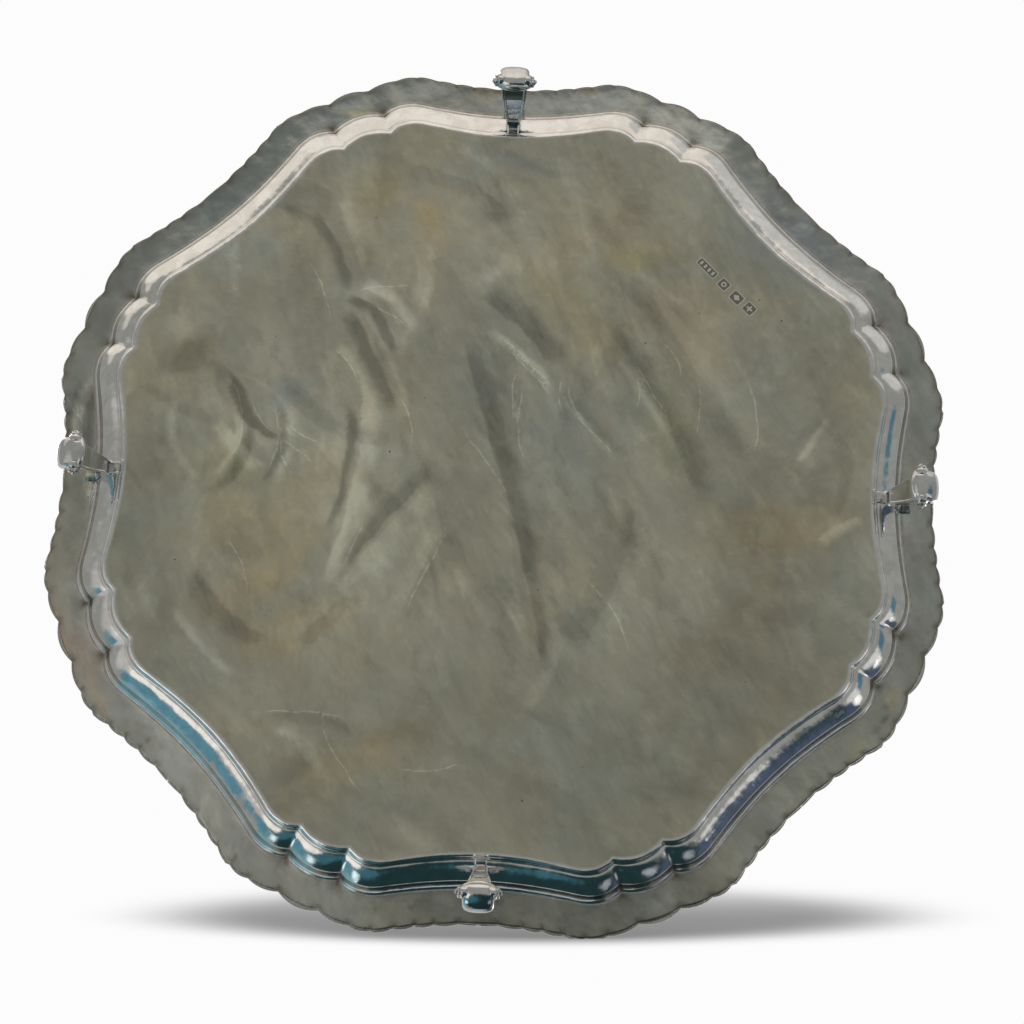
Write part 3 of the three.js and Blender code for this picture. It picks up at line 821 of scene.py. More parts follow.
def make_plate():
    """Well, step and rim as one closed sheet, with its tarnish and its painted light and shade painted
    on its points.
    """
    rings = []                     # radii, heights, polish, hollow, rim, top, one entry a ring

    def add(radius, *values):
        rings.append([np.broadcast_to(value, radius.shape) for value in (radius, *values)])

    def round_the_plate(count):
        return np.arange(count) * 360 / count

    for count, share in well_rings():
        add(share * well_edge(round_the_plate(count)), 0.0, 0.0, 0.0, 0.0, 0.0)
    degrees = round_the_plate(PLATE_STEPS)
    radii, heights = step_and_rim(degrees)
    for values in zip(radii, heights, *under_masks(degrees, radii)):
        add(*values, 0.0)
    top_r, top_h = top_side(radii, heights)
    # Round the sheet's cut edge, darkened as painted shade.
    add(radii[-1] + 0.26, heights[-1] + 0.18, 0.3, 0.75, 0.0, 0.0)
    add((radii[-1] + top_r[-1]) / 2 + 0.40, (heights[-1] + top_h[-1]) / 2, 0.5, 0.55, 0.0, 0.5)
    degrees = round_the_plate(PLATE_STEPS // 2)
    radii, heights = step_and_rim(degrees)
    top_r, top_h = top_side(radii, heights)
    add(top_r[-1] + 0.28, top_h[-1] - 0.2, 0.5, 0.1, 0.0, 0.8)
    for values in list(zip(top_r, top_h, *top_masks(degrees, radii)))[::-2]:
        add(*values, 1.0)
    for count, share in WELL_TOP_RINGS:
        add(share * well_edge(round_the_plate(count)), SHEET, 0.0, 0.0, 0.0, 1.0)
    # Points and faces, with one point at the middle of each side.
    points, masks, numbers, total = [], [], [], 0
    for radius, height, *values in rings:
        angle = np.radians(round_the_plate(len(radius)))
        points.append(np.stack([radius * np.cos(angle), radius * np.sin(angle),
                                WELL_BASE + height], -1))
        masks.append(np.stack(values))
        numbers.append(np.arange(total, total + len(radius)))
        total += len(radius)
    points.append(np.array([[0, 0, WELL_BASE], [0, 0, WELL_BASE + SHEET]]))
    masks.append(np.array([[0, 0], [0, 0], [0, 0], [0, 1]]))
    faces = []
    for near, far in zip(numbers, numbers[1:]):
        faces += [face[::-1] for face in stitch(near, far)]
    first, last = numbers[0], numbers[-1]
    faces += [[total, now, after] for now, after in zip(first, np.roll(first, -1))]
    faces += [[total + 1, after, now] for now, after in zip(last, np.roll(last, -1))]
    faces = [[int(i) for i in face] for face in faces]
    points = np.concatenate(points)
    polish, tarnish_and_shade, rim, top = np.concatenate(masks, 1)
    aside, hairline = hairline_masks(points[:, 0], -points[:, 1])
    plate = new_object("raised_plate", points, faces, {
        "polish": polish, "tarnish_and_shade": tarnish_and_shade, "rim": rim, "top": top,
        "hairline_side": aside, "hairline": hairline * (top < 0.5)})
    colour = np.ones((len(points), 4))
    under = top < 0.6
    swipes = np.zeros(len(points))
    colour[under, :3], swipes[under] = patina_and_painted_light(points[under, 0], -points[under, 1])
    layer = plate.data.attributes.new("swipes", "FLOAT", "POINT")
    layer.data.foreach_set("value", swipes.astype(np.float32))
    layer = plate.data.attributes.new("patina_and_painted_light", "FLOAT_COLOR", "POINT")
    layer.data.foreach_set("color", colour.astype(np.float32).ravel())
    plate.data.materials.append(plate_material())
    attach(plate, "root")
    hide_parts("plate")


# ---- The cast border --------------------------------------------------------------------------
SAMPLES_PER_GADROON = 16
GADROON_SLANT = 0.42               # gadroon widths that a gadroon leans over from edge to edge
BORDER_JOINT = 0.3                 # gap between two lengths
SECTION = [                        # inward from the rim's edge, height over the seat
    (0.0, 0.0), (0.0, 0.55), (0.12, 1.05), (0.45, 1.65), (0.95, 2.2), (1.6, 2.65), (2.3, 2.98),
    (3.1, 3.16), (3.9, 3.2), (4.6, 3.05), (5.2, 2.72), (5.7, 2.28), (6.1, 1.8), (6.4, 1.35),
    (6.6, 1.05), (6.78, 0.95), (6.95, 1.08), (7.15, 1.28), (7.4, 1.38), (7.65, 1.36), (7.88, 1.2),
    (8.05, 0.95), (8.2, 0.82), (8.4, 0.72), (8.6, 0.5), (8.6, 0.0), (6.0, 0.0), (3.0, 0.0)]


def border_surface(degrees, inward, height):
    """Radius, height and darkening of the border at angles along it and one section point: tarnish in
    its hollows, painted shade low on its outer face.
    """
    reach = np.clip(inward / 6.4, 0, 1)
    _, crown, cell = gadroon(degrees)
    width = np.where(cell == 0, 5.2, np.where(cell == len(VALLEYS), 5.4, 2.6))
    plain = (cell > 0) & (cell < len(VALLEYS))
    side = np.sign((degrees + HALF_SECTOR) % (2 * HALF_SECTOR) - HALF_SECTOR)
    lean = np.where(plain, GADROON_SLANT * (reach - 0.2) * width, 0.0)
    leaned = degrees - side * lean * smooth_step(folded(degrees), 2.6, 4.0)
    across, _, cell_there = gadroon(leaned)
    bulge = np.sqrt(np.clip(1 - across ** 2, 0, 1))
    # The shell at a lobe's middle has seven ribs, the leaf at a dip's middle has a midrib.
    ribs = 0.5 + 0.5 * np.cos(across * 7 * math.pi)
    shell = bulge ** 0.5 * (0.72 + 0.28 * ribs)
    leaf = bulge * (0.78 + 0.22 * np.exp(-(across / 0.16) ** 2) + 0.10 * np.cos(across * 5 * math.pi))
    form = np.select([cell_there == len(VALLEYS), cell_there == 0], [shell, leaf], bulge)
    worked = smooth_step(height, 0.3, 1.2) * (1 - smooth_step(inward, 5.9, 6.5))
    drop = (1.35 * (1 - reach) + 0.75 * reach) * (1 - form) * worked
    raised = np.where(cell_there == len(VALLEYS), 0.45, 0.0) * shell * worked
    raised = raised * np.sin(math.pi * np.clip(reach, 0, 1))
    beads = 0.16 * np.cos(np.radians(degrees) * 145 / 0.62)
    beads = beads * np.exp(-((inward - 7.4) / 0.45) ** 2) * (height > 0.6)
    outline = crown * (1 - gadroon(degrees)[0] ** 2) * (1 - inward / BORDER_WIDTH)
    radius = rim_valley(degrees) + outline - inward
    tarnish_and_shade = (1 - form) ** 1.5 * worked + 0.9 * np.exp(-((inward - 6.75) / 0.3) ** 2) * (height > 0.5)
    # The strip low on the outer face is darkened as painted shade.
    tarnish_and_shade = np.clip(tarnish_and_shade + 0.7 * (inward < 0.1) * (height < 0.6), 0, 1)
    return radius, np.maximum(height - drop + raised + beads, 0.0), tarnish_and_shade


def make_border(index, material):
    """One length of border, from a dip to the next."""
    start = (index - 1) * 2 * HALF_SECTOR
    mirrored = [2 * HALF_SECTOR - valley for valley in reversed(VALLEYS)]
    marks = [0, *VALLEYS, *mirrored, 2 * HALF_SECTOR]
    stations = np.concatenate([
        np.linspace(low, high, SAMPLES_PER_GADROON * (3 if high - low > 5 else 1), endpoint=False)
        for low, high in zip(marks, marks[1:])] + [[2 * HALF_SECTOR]])
    trim = math.degrees(BORDER_JOINT / 2 / DIP_EDGE)
    stations = np.clip(stations, trim, 2 * HALF_SECTOR - trim)
    degrees = start + stations
    rows, tarnish_and_shade_rows = [], []
    for inward, height in SECTION:
        radius, lift, tarnish_and_shade = border_surface(degrees, inward, height)
        angle = np.radians(degrees)
        rows.append(np.stack([radius * np.cos(angle), radius * np.sin(angle), BORDER_SEAT + lift], -1))
        tarnish_and_shade_rows.append(tarnish_and_shade)
    rings = np.array(rows).transpose(1, 0, 2)
    points, faces = capped_tube(rings)
    tarnish_and_shade = np.concatenate([np.array(tarnish_and_shade_rows).T.ravel(), [0, 0]])
    piece = new_object(f"gadroon_length_{index}", points, faces, {"tarnish_and_shade": tarnish_and_shade})
    piece.data.set_sharp_from_angle(angle=math.radians(50))
    piece.data.materials.append(material)
    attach(piece, "root")
    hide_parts(f"border_length_{index}")


# ---- The cast scroll feet ---------------------------------------------------------------------
LEG_LEVELS = [                     # height, inner x, outer x, width inside, width outside
    (24.6, 131.2, 138.2, 9.0, 8.0),
    (23.3, 131.1, 137.9, 7.4, 7.2),
    (22.2, 130.9, 137.7, 6.3, 6.6),
    (21.0, 130.6, 137.5, 5.6, 6.2),
    (19.6, 130.1, 137.3, 5.1, 5.9),
    (18.2, 129.7, 137.1, 4.9, 5.7),
    (16.8, 129.5, 137.0, 4.9, 5.6),
    (15.3, 129.9, 136.9, 5.2, 5.7),
    (13.9, 130.8, 136.9, 5.8, 6.0),
    (12.3, 131.8, 137.1, 6.6, 6.6),
    (10.6, 133.0, 137.8, 7.4, 7.3),
    (9.0, 134.1, 139.2, 8.0, 8.0),
    (7.4, 135.0, 140.4, 8.4, 8.4),
    (6.0, 135.6, 141.0, 8.6, 8.6),
    (4.6, 136.2, 141.2, 8.8, 8.8),
]
RAISED_EDGE = 0.32                 # how far the leg's inner face is sunk between its edges
PAD_MIDDLE = (139.8, 3.4)          # distance and height of the middle of the foot's pad
PAD_TILT = 20                      # degrees that the pad rises outwards
PAD_LONG, PAD_THICK = 4.9, 3.0     # half its length and half its thickness
PAD_SQUARE = 2.2                   # 2 is a round section, more is squarer
TURNED_SIDES, PAD_SIDES = 48, 72
VOLUTE_PLACE = (138.4, 2.3)        # distance and height of the volutes' middle
TONGUE = (124.5, 131.5)            # distances where the soldered tongue starts and ends


def sheet_underside(x, y):
    """Height of the plate's underside over the table at a place beneath it."""
    degrees = np.degrees(np.arctan2(y, x))
    return WELL_BASE + underside(np.hypot(x, y) - well_edge(degrees))


def leg_shell():
    """The leg: narrow at its neck, flared where it is soldered on, with raised inner edges."""
    outline = [  # across (-1 to 1), depth (0 on the inner face, 1 on the outer one), sunk inwards
        (-1.0, 0.10, 0), (-0.96, 0.0, 0), (-0.82, 0.0, 0), (-0.72, 0.0, 1), (-0.3, 0.0, 1),
        (0.0, 0.0, 1), (0.3, 0.0, 1), (0.72, 0.0, 1), (0.82, 0.0, 0), (0.96, 0.0, 0),
        (1.0, 0.10, 0), (1.0, 0.5, 0), (1.0, 0.88, 0), (0.9, 1.0, 0), (0.45, 1.04, 0),
        (0.0, 1.05, 0), (-0.45, 1.04, 0), (-0.9, 1.0, 0), (-1.0, 0.88, 0), (-1.0, 0.5, 0)]
    rings = []
    for height, inner, outer, width_in, width_out in LEG_LEVELS:
        ring = []
        for across, depth, sunk in outline:
            x = inner + (outer - inner) * depth + RAISED_EDGE * sunk
            y = across * (width_in + (width_out - width_in) * depth) / 2
            ring.append((x, y, min(height, float(sheet_underside(x, y)) + 0.5)))
        rings.append(ring)
    return capped_tube(rings)


def tongue_shell():
    """The flat tongue that runs over the step to the edge of the well."""
    rings = []
    for x in np.linspace(*TONGUE, 26):
        under = float(sheet_underside(x, 0.0))
        low, high = under - 0.6, under + 0.45
        half = 2.0 + 0.5 * smooth_step(x, 128.5, 131.5)
        ring = [(x, across * half, low + (high - low) * up) for across, up in (
            (-1, 0.25), (-0.86, 0.0), (-0.4, -0.03), (0, -0.04), (0.4, -0.03), (0.86, 0.0), (1, 0.25),
            (1, 1), (0, 1), (-1, 1))]
        rings.append(ring)
    return capped_tube(rings)


def round_angles(sides):
    """Angles of evenly spaced points round a circle."""
    return np.arange(sides) * 2 * math.pi / sides


def turned_shell(profile, distance, height):
    """A solid turned round an axis across the leg, from (place across, radius) pairs."""
    angle = round_angles(TURNED_SIDES)
    rings = [np.stack([distance + radius * np.cos(angle), np.full(TURNED_SIDES, y),
                       height + radius * np.sin(angle)], -1) for y, radius in profile]
    return capped_tube(rings)


def pad_shell():
    """The rounded pad that the leg ends in: a bulging box that rises outwards."""
    half = [(0.0, 1.0), (1.6, 0.985), (3.0, 0.94), (4.0, 0.87), (4.6, 0.78), (5.0, 0.64), (5.2, 0.42)]
    profile = [(-y, share) for y, share in reversed(half)] + half[1:]
    angle = round_angles(PAD_SIDES)
    long, thick = np.cos(angle), np.sin(angle)
    reach = (np.abs(long) ** PAD_SQUARE + np.abs(thick) ** PAD_SQUARE) ** (-1 / PAD_SQUARE)
    tilt = math.radians(PAD_TILT)
    rings = []
    for y, share in profile:
        along, across = PAD_LONG * share * reach * long, PAD_THICK * share * reach * thick
        rings.append(np.stack([PAD_MIDDLE[0] + along * math.cos(tilt) - across * math.sin(tilt),
                               np.full(PAD_SIDES, y),
                               PAD_MIDDLE[1] + along * math.sin(tilt) + across * math.cos(tilt)], -1))
    return capped_tube(rings)


def collar_shell():
    """The rounded lip along the pad's inner end, bowed towards the well."""
    rings, sides = [], 20
    around = round_angles(sides)
    for share in np.linspace(-1, 1, 31):
        thick = 1.15 * (1 - 0.30 * share ** 2) * math.sqrt(max(1 - share ** 8, 0.02))
        middle = (135.7 + 1.7 * share ** 2, 6.3 * share, 1.95 + 0.9 * share ** 2)
        rings.append(np.stack([middle[0] + thick * np.cos(around), np.full(sides, middle[1]),
                               middle[2] + 1.3 * thick * np.sin(around)], -1))
    return capped_tube(rings)


def volute_shells(side):
    """The coiled end of the scroll on one side: a low cone, a thin coil wound on it and beads."""
    centre_x, centre_z = VOLUTE_PLACE
    turns, steps, sides = 2.1, 110, 12
    cone = [(side * y, radius) for y, radius in (
        (3.8, 2.15), (5.2, 2.1), (6.0, 1.5), (6.7, 0.8), (6.9, 0.3))]
    shells = [turned_shell(cone if side > 0 else cone[::-1], centre_x, centre_z)]
    rings = []
    for i in range(steps + 1):
        share = i / steps
        angle = math.radians(-60) + share * turns * 2 * math.pi
        radius = 1.75 * (1 - share) ** 0.9 + 0.4 * share
        y = side * (5.1 + 2.1 * share ** 0.85)
        thick = 0.54 - 0.18 * share
        centre = np.array([centre_x + radius * math.cos(angle), y, centre_z + radius * math.sin(angle)])
        outward = np.array([math.cos(angle), 0, math.sin(angle)])
        around = round_angles(sides)
        ring = np.cos(around)[:, None] * outward + np.sin(around)[:, None] * [0, side, 0]
        rings.append(centre + thick * ring)
    shells.append(capped_tube(rings))
    shells.append(bead_shell((centre_x, side * 7.0, centre_z), (0.7, 0.7, 0.7)))
    for i in range(5):
        angle = math.radians(20 + 72 * i)
        place = (centre_x + 1.5 * math.cos(angle), side * 6.2, centre_z + 1.5 * math.sin(angle))
        shells.append(bead_shell(place, (0.52, 0.6, 0.52)))
    return shells


def bead_shell(centre, radii):
    """A rounded blob of solder or the bead at a coil's middle."""
    rows, rings, sides = [], 12, 20
    angle = round_angles(sides)
    for i in range(1, rings):
        polar = math.pi * i / rings
        rows.append(np.stack([centre[0] + radii[0] * math.sin(polar) * np.cos(angle),
                              centre[1] + radii[1] * math.sin(polar) * np.sin(angle),
                              np.full(sides, centre[2] - radii[2] * math.cos(polar))], -1))
    return capped_tube(rows)


def foot_mesh(material):
    """The cast foot as one closed skin over its shells."""
    shells = [leg_shell(), tongue_shell(), pad_shell(), collar_shell()]
    for side in (-1, 1):
        shells += volute_shells(side)
        for x in (124.9, 129.0):
            z = float(sheet_underside(x, 2.0)) - 0.1
            shells.append(bead_shell((x, side * 2.15, z), (0.7, 0.5, 0.45)))
    points, faces = join_shells(shells)
    rough = new_object("foot_form", points, faces)
    remesh = rough.modifiers.new("skin", "REMESH")
    remesh.mode = "VOXEL"
    remesh.voxel_size = 0.17 * MM
    soften = rough.modifiers.new("soften", "SMOOTH")
    soften.factor, soften.iterations = 0.5, 3
    thin = rough.modifiers.new("thin", "DECIMATE")
    thin.ratio = 0.4
    bpy.context.view_layer.update()
    evaluated = rough.evaluated_get(bpy.context.evaluated_depsgraph_get())
    mesh = bpy.data.meshes.new_from_object(evaluated)
    bpy.data.objects.remove(rough)
    mesh.name = "cast_foot"
    mesh.validate()
    mesh.materials.clear()
    mesh.materials.append(material)
    add_hollows(mesh)
    mesh.polygons.foreach_set("use_smooth", [True] * len(mesh.polygons))
    return mesh


def add_hollows(mesh):
    """Marks the creases of a skin, where polish doesn't reach: the angle between neighbours."""
    count = len(mesh.vertices)
    place = np.empty(count * 3)
    mesh.vertices.foreach_get("co", place)
    place = place.reshape(-1, 3)
    normal = np.empty(count * 3)
    mesh.vertices.foreach_get("normal", normal)
    normal = normal.reshape(-1, 3)
    edges = np.empty(len(mesh.edges) * 2, np.int32)
    mesh.edges.foreach_get("vertices", edges)
    first, second = edges.reshape(-1, 2).T
    run = place[second] - place[first]
    length = np.linalg.norm(run, axis=1) + 1e-9
    bend = np.einsum("ij,ij->i", normal[second] - normal[first], run) / length ** 2
    total, weight = np.zeros(count), np.zeros(count)
    for ends in (first, second):
        np.add.at(total, ends, bend)
        np.add.at(weight, ends, 1)
    concave = np.clip(-total / np.maximum(weight, 1) * MM * 0.9, 0, 1)
    for _ in range(3):
        total, weight = concave.copy(), np.ones(count)
        np.add.at(total, first, concave[second])
        np.add.at(total, second, concave[first])
        np.add.at(weight, first, 1)
        np.add.at(weight, second, 1)
        concave = total / weight
    layer = mesh.attributes.new("tarnish_and_shade", "FLOAT", "POINT")
    layer.data.foreach_set("value", np.clip(concave * 1.6, 0, 1).astype(np.float32))


def make_feet(material):
    """The four feet: one mesh, turned round the plate's middle."""
    mesh = foot_mesh(material)
    for i in range(FEET):
        foot = in_scene(f"cast_foot_{i + 1}", mesh.copy())
        foot.data.transform(Matrix.Rotation(i * 2 * math.pi / FEET, 4, "Z"))
        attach(foot, "root")
        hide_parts(f"scroll_foot_{i + 1}")


# ---- Stamped marks ----------------------------------------------------------------------------
MARKS = [                          # place on the underside, half length, half width, shape
    ((68.0, -78.5), 4.0, 1.3, "bars"),
    ((73.7, -72.8), 1.8, 1.7, "ring"),
    ((78.1, -68.2), 2.1, 1.8, "lozenge"),
    ((82.5, -64.4), 1.9, 1.8, "cross"),
]
MARK_TURN = 45                     # degrees that the row of marks is turned


def prism(outline, low, high):
    """A thin flat solid over an outline."""
    ring = [[(x, y, low) for x, y in outline], [(x, y, high) for x, y in outline]]
    return capped_tube(ring)


def make_marks():
    """Four stamped cartouches with plain geometric shapes."""
    bright, dark = [], []
    turn = math.radians(MARK_TURN)
    rotate = np.array([[math.cos(turn), -math.sin(turn)], [math.sin(turn), math.cos(turn)]])

    def put(group, outline, centre, depth):
        flat = np.asarray(outline) @ rotate.T + centre
        group.append(prism(flat, WELL_BASE - depth, WELL_BASE + 0.3))

    def oblong(half_x, half_y, corner, x=0.0):
        """An outline with rounded corners, its middle at x along the mark."""
        points = []
        for quarter, (sx, sy) in enumerate(((1, 1), (-1, 1), (-1, -1), (1, -1))):
            for step in range(4):
                angle = math.radians(90 * quarter + 30 * step)
                points.append((x + sx * (half_x - corner) + corner * math.cos(angle),
                               sy * (half_y - corner) + corner * math.sin(angle)))
        return points

    for centre, half_x, half_y, shape in MARKS:
        put(bright, oblong(half_x + 0.22, half_y + 0.22, 0.6), centre, 0.04)
        put(dark, oblong(half_x - 0.08, half_y - 0.08, 0.4), centre, 0.06)
        if shape == "bars":
            for x in (-2.7, -0.9, 0.9, 2.7):
                put(bright, oblong(0.42, 0.75, 0.2, x), centre, 0.09)
        elif shape == "ring":
            put(bright, oblong(0.95, 0.95, 0.9), centre, 0.07)
            put(dark, oblong(0.45, 0.45, 0.4), centre, 0.09)
        elif shape == "lozenge":
            put(bright, [(1.4, 0), (0, 1.1), (-1.4, 0), (0, -1.1)], centre, 0.09)
        else:
            put(bright, oblong(1.2, 0.3, 0.2), centre, 0.08)
            put(bright, oblong(0.3, 1.2, 0.2), centre, 0.09)
    for name, group, material in (
            ("mark_rims", bright, mark_material("mark_rim_silver", (0.98, 0.97, 0.90), 0.22)),
            ("mark_floors", dark, mark_material("mark_floor_tarnish", (0.30, 0.29, 0.235), 0.36))):
        points, faces = join_shells(group)
        piece = new_object(name, points, faces)
        piece.data.polygons.foreach_set("use_smooth", [False] * len(piece.data.polygons))
        piece.data.materials.append(material)
        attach(piece, "root")


# ---- Camera, light and stage ------------------------------------------------------------------
VIEW_TIP = 16.04                   # degrees that the underside leans back from the camera
VIEW_ROLL = 2.346                  # degrees that it is turned in the picture
VIEW_YAW = -0.047                  # degrees that it faces to one side
VIEW_PLACE = (-4.817, 10.105, -893.09)   # the well's centre, seen from the camera
VIEW_LENS = 94.64                  # focal length on a sensor 36 mm wide


def make_camera():
    """A camera beneath the table's plane, square to the underside but for its lean."""
    data = bpy.data.cameras.new("camera")
    data.sensor_width, data.lens = 36, VIEW_LENS
    data.clip_start, data.clip_end = 0.05, 50
    camera = in_scene("camera", data)
    to_camera = (Matrix.Translation(Vector(VIEW_PLACE) * MM)
                 @ Matrix.Rotation(math.radians(-VIEW_TIP), 4, "X")
                 @ Matrix.Rotation(math.radians(-VIEW_YAW), 4, "Y")
                 @ Matrix.Rotation(math.radians(-VIEW_ROLL), 4, "Z")
                 @ Matrix.Rotation(math.pi, 4, "X")
                 @ Matrix.Translation((0, 0, -WELL_BASE * MM)))
    camera.matrix_world = to_camera.inverted()
    bpy.context.scene.camera = camera


WHITE = 0.975                      # brightness of the empty background
BELOW_LIGHT = (0.30, 0.305, 0.295)       # light between the patches, under and over the table
ABOVE_LIGHT = (0.56, 0.565, 0.57)
# Soft patches of light and dark round the object. The first ones are given as seen from below:
# azimuth (0 to the right, 90 up), degrees from straight below, reach, softness, colour.
LIGHTS_BELOW = [
    (90, 66, 26, 9, (0.86, 0.80, 0.73)),
    (121, 78, 17, 6, (0.84, 0.79, 0.72)),
    (52, 74, 13, 9, (0.58, 0.58, 0.56)),
    (145, 69, 4, 6, (0.62, 0.61, 0.56)),
    (187, 42, 12, 12, (0.50, 0.49, 0.48)),
    (-12, 45, 9, 5, (0.66, 0.66, 0.66)),
    (8, 52, 5, 7, (0.08, 0.17, 0.24)),
    (-42, 34, 6, 8, (0.36, 0.37, 0.37)),
    (-40, 62, 15, 8, (0.065, 0.09, 0.14)),
    (-82, 46, 28, 12, (0.014, 0.036, 0.040)),
    (-80, 76, 14, 8, (0.016, 0.032, 0.034)),
    (-90, 98, 9, 6, (0.42, 0.48, 0.54)),
    (-116, 36, 8, 10, (0.04, 0.13, 0.17)),
    (-127, 54, 4, 6, (0.85, 1.12, 1.20)),
    (-148, 55, 9, 6, (0.10, 0.25, 0.33)),
    (-146, 31, 8, 6, (0.95, 0.92, 0.88)),
    (-54, 50, 3, 8, (0.34, 0.36, 0.41)),
    (-17, 58, 3, 3, (1.20, 1.20, 1.20)),
    (-134, 80, 12, 10, (0.20, 0.38, 0.46)),
    (-126, 103, 8, 8, (0.58, 0.63, 0.66)),
    (-62, 108, 14, 10, (0.06, 0.08, 0.08)),
]
LIGHTS_ABOVE = [                   # direction in the object's frame, reach, softness, colour
    ((0.2, -0.3, 1.0), 20, 16, (1.25, 1.25, 1.25)),
    ((0.8, 0.5, 0.45), 12, 12, (0.35, 0.36, 0.38)),
    ((0.5, -0.85, 0.40), 12, 12, (0.38, 0.38, 0.39)),
    ((-0.8, -0.5, 0.5), 12, 12, (0.42, 0.42, 0.43)),
]


def from_below(azimuth, polar):
    """A direction in the object's frame, from angles as the camera beneath it sees them."""
    azimuth, polar = math.radians(azimuth), math.radians(polar)
    return (math.sin(polar) * math.cos(azimuth), -math.sin(polar) * math.sin(azimuth), -math.cos(polar))


def make_world():
    """White behind the object, and a soft studio, above and below the table, to light it."""
    world = bpy.data.worlds.new("studio")
    bpy.context.scene.world = world
    tree = Tree(world)
    straight = tree.node("ShaderNodeTexCoord").outputs["Generated"]
    ragged = tree.vector("SUBTRACT", tree.noise(straight, 14.0, 4.0, colour=True), (0.5, 0.5, 0.5))
    direction = tree.vector("NORMALIZE", tree.vector("ADD", straight, tree.scaled(ragged, 0.16)))
    height = tree.node("ShaderNodeSeparateXYZ", {"Vector": straight}).outputs["Z"]
    colour = tree.mix(tree.step(height, -0.02, 0.16), BELOW_LIGHT, ABOVE_LIGHT)
    patches = [(from_below(azimuth, polar), *rest) for azimuth, polar, *rest in LIGHTS_BELOW]
    for towards, reach, softness, light in patches + LIGHTS_ABOVE:
        closeness = tree.vector("DOT_PRODUCT", direction, tuple(Vector(towards).normalized()))
        share = tree.step(closeness, math.cos(math.radians(reach + softness)),
                          math.cos(math.radians(reach)))
        colour = tree.mix(share, colour, light)
    lit = tree.node("ShaderNodeBackground", {"Color": colour, "Strength": 1.0})
    plain = tree.node("ShaderNodeBackground", {"Color": (1, 1, 1, 1), "Strength": WHITE})
    seen = tree.node("ShaderNodeLightPath").outputs["Is Camera Ray"]
    tree.surface(tree.either(seen, lit, plain), "ShaderNodeOutputWorld")


def make_light(name, place, size, power):
    """A soft area light that faces the object and that the camera doesn't see."""
    data = bpy.data.lights.new(name, "AREA")
    data.shape, data.size = "DISK", size
    data.energy = power
    light = in_scene(name, data)
    light.location = place
    light.rotation_euler = (-Vector(place)).to_track_quat("-Z", "Y").to_euler()
    light.visible_camera = False


def seen_only_by_camera(stage):
    """Keeps a part of the stage out of reflections, bounced light and shadows."""
    for way in ("diffuse", "glossy", "transmission", "shadow"):
        setattr(stage, f"visible_{way}", False)


FLOOR_SIDES, FLOOR_RADIUS = 96, 3.0


def make_floor():
    """A pale table that is seen from above only, so that the underside shows from below."""
    mesh = bpy.data.meshes.new("floor")
    angles = [2 * math.pi * i / FLOOR_SIDES for i in range(FLOOR_SIDES)]
    ring = [(FLOOR_RADIUS * math.cos(angle), FLOOR_RADIUS * math.sin(angle), 0) for angle in angles]
    mesh.from_pydata(ring, [], [list(range(FLOOR_SIDES))])
    floor = in_scene("floor", mesh)
    floor.location.z = -0.0001
    material = bpy.data.materials.new("pale_table")
    tree = Tree(material)
    geometry = tree.node("ShaderNodeNewGeometry").outputs
    away = tree.step(tree.vector("LENGTH", geometry["Position"]), 1.0, 2.8)
    hidden = tree.math("MAXIMUM", geometry["Backfacing"], away)
    matte = tree.node("ShaderNodeBsdfDiffuse", {"Color": (0.82, 0.82, 0.81, 1)})
    tree.surface(tree.either(hidden, matte, tree.node("ShaderNodeBsdfTransparent")))
    mesh.materials.append(material)
    seen_only_by_camera(floor)


BENCH_REACH = (0.70, 0.30)         # half the width, and the depth each way, in metres
BENCH_PITCH = 5                    # degrees that the camera looks down on it
# The contact shadow, painted on the bench, in metres: a soft oval behind the rim's lowest points.
SHADOW_RIGHT, SHADOW_BEHIND = 0.019, 0.031   # where its middle is
SHADOW_HALF_WIDTH = 0.140
SHADOW_NEAR, SHADOW_FAR = 0.043, 0.060       # its reach to the front and to the back
SHADOW_LIGHT = 0.24                # brightness in its darkest part


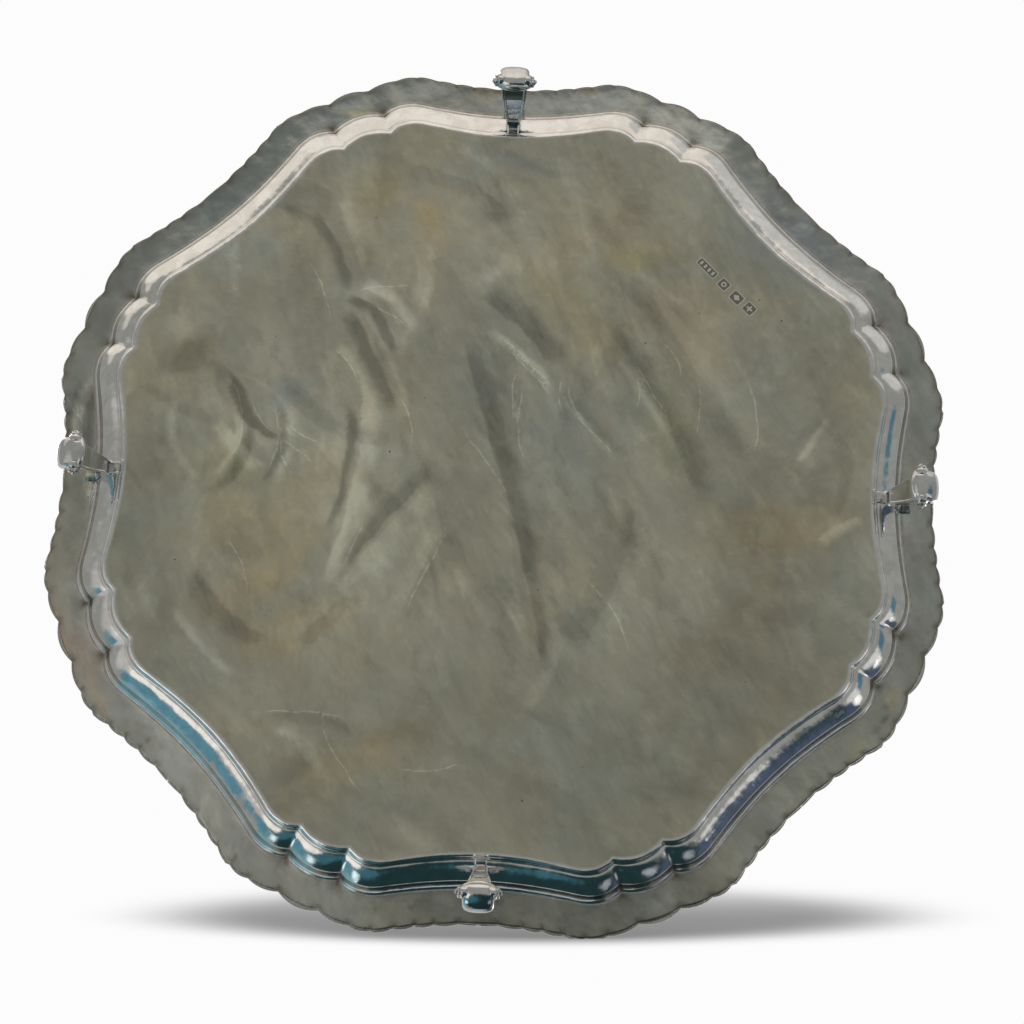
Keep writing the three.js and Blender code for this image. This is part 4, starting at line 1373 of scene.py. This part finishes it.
def make_bench():
    """The surface under the salver as it stands on its rim: a glowing white bench with a painted soft
    shadow, seen from below only.
    """
    camera = bpy.context.scene.camera.matrix_world.to_3x3()
    right, up, back = (camera.col[i].normalized() for i in range(3))
    lowest, other = (
        sorted(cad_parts[name].data.vertices, key=lambda v: v.co.dot(up))[0].co
        for name in ("border_length_3", "border_length_2"))
    tilt = math.radians(BENCH_PITCH)
    deep = back * math.cos(tilt) - up * math.sin(tilt)
    deep = (deep - right * deep.dot(right)).normalized()
    middle = (lowest + other) / 2
    corners = [middle + right * (BENCH_REACH[0] * x) + deep * (BENCH_REACH[1] * y)
               for x, y in ((-1, -1), (1, -1), (1, 1), (-1, 1))]
    mesh = bpy.data.meshes.new("bench")
    mesh.from_pydata([tuple(corner) for corner in corners], [], [[0, 1, 2, 3]])
    bench = in_scene("bench", mesh)
    material = bpy.data.materials.new("bench_with_painted_shadow")
    tree = Tree(material)
    place = tree.node("ShaderNodeNewGeometry").outputs["Position"]
    away = tree.vector("SUBTRACT", place, tuple(middle))
    from_middle = tree.vector("SUBTRACT", away, tuple(right * SHADOW_RIGHT))
    across = tree.vector("DOT_PRODUCT", from_middle, tuple(right))
    across = tree.math("DIVIDE", across, SHADOW_HALF_WIDTH)
    depth = tree.vector("DOT_PRODUCT", away, tuple(deep))
    behind = tree.math("ADD", depth, SHADOW_BEHIND)
    behind = tree.math("MAXIMUM", tree.math("DIVIDE", behind, SHADOW_NEAR),
                       tree.math("DIVIDE", behind, -SHADOW_FAR))
    spread = tree.math("SQRT", tree.math("ADD", tree.math("MULTIPLY", across, across),
                                         tree.math("MULTIPLY", behind, behind)))
    # Painted shadow: the oval, darkened further where the salver is close.
    near = tree.math("MULTIPLY", tree.step(spread, 0.60, 1.17, 1.0, 0.0),
                     tree.step(depth, -0.11, -0.02))
    open_air = tree.node("ShaderNodeAmbientOcclusion", {"Distance": 0.03}, samples=12).outputs["AO"]
    shade = tree.math("MULTIPLY", near, tree.step(open_air, 0.3, 1.0, 1.0, 0.82))
    light = tree.step(shade, 0.0, 1.0, WHITE, SHADOW_LIGHT)
    # The bench glows: its white is painted light, not lit by the lamps.
    glow = tree.node("ShaderNodeEmission", {"Color": (1, 1, 1, 1), "Strength": light})
    # From below, a ray has come through the clear side of the floor before it gets here.
    through = tree.node("ShaderNodeLightPath").outputs["Transparent Depth"]
    shown = tree.math("GREATER_THAN", through, 0.5)
    tree.surface(tree.either(shown, tree.node("ShaderNodeBsdfTransparent"), glow))
    mesh.materials.append(material)
    seen_only_by_camera(bench)


make_camera()
make_world()
make_light("key", (-0.7, -0.6, 1.1), 0.7, 6)
make_light("fill", (0.9, 0.5, 0.8), 0.8, 3)
make_floor()
make_bench()
bpy.context.scene.view_settings.view_transform = "Standard"

make_plate()
border_silver = cast_material("border_silver", (0.86, 0.85, 0.82), (0.74, 0.73, 0.68), 0.13)
for number in range(1, SECTORS + 1):
    make_border(number, border_silver)
make_feet(cast_material("foot_silver", (0.82, 0.815, 0.80), (0.60, 0.60, 0.585), 0.07))
make_marks()
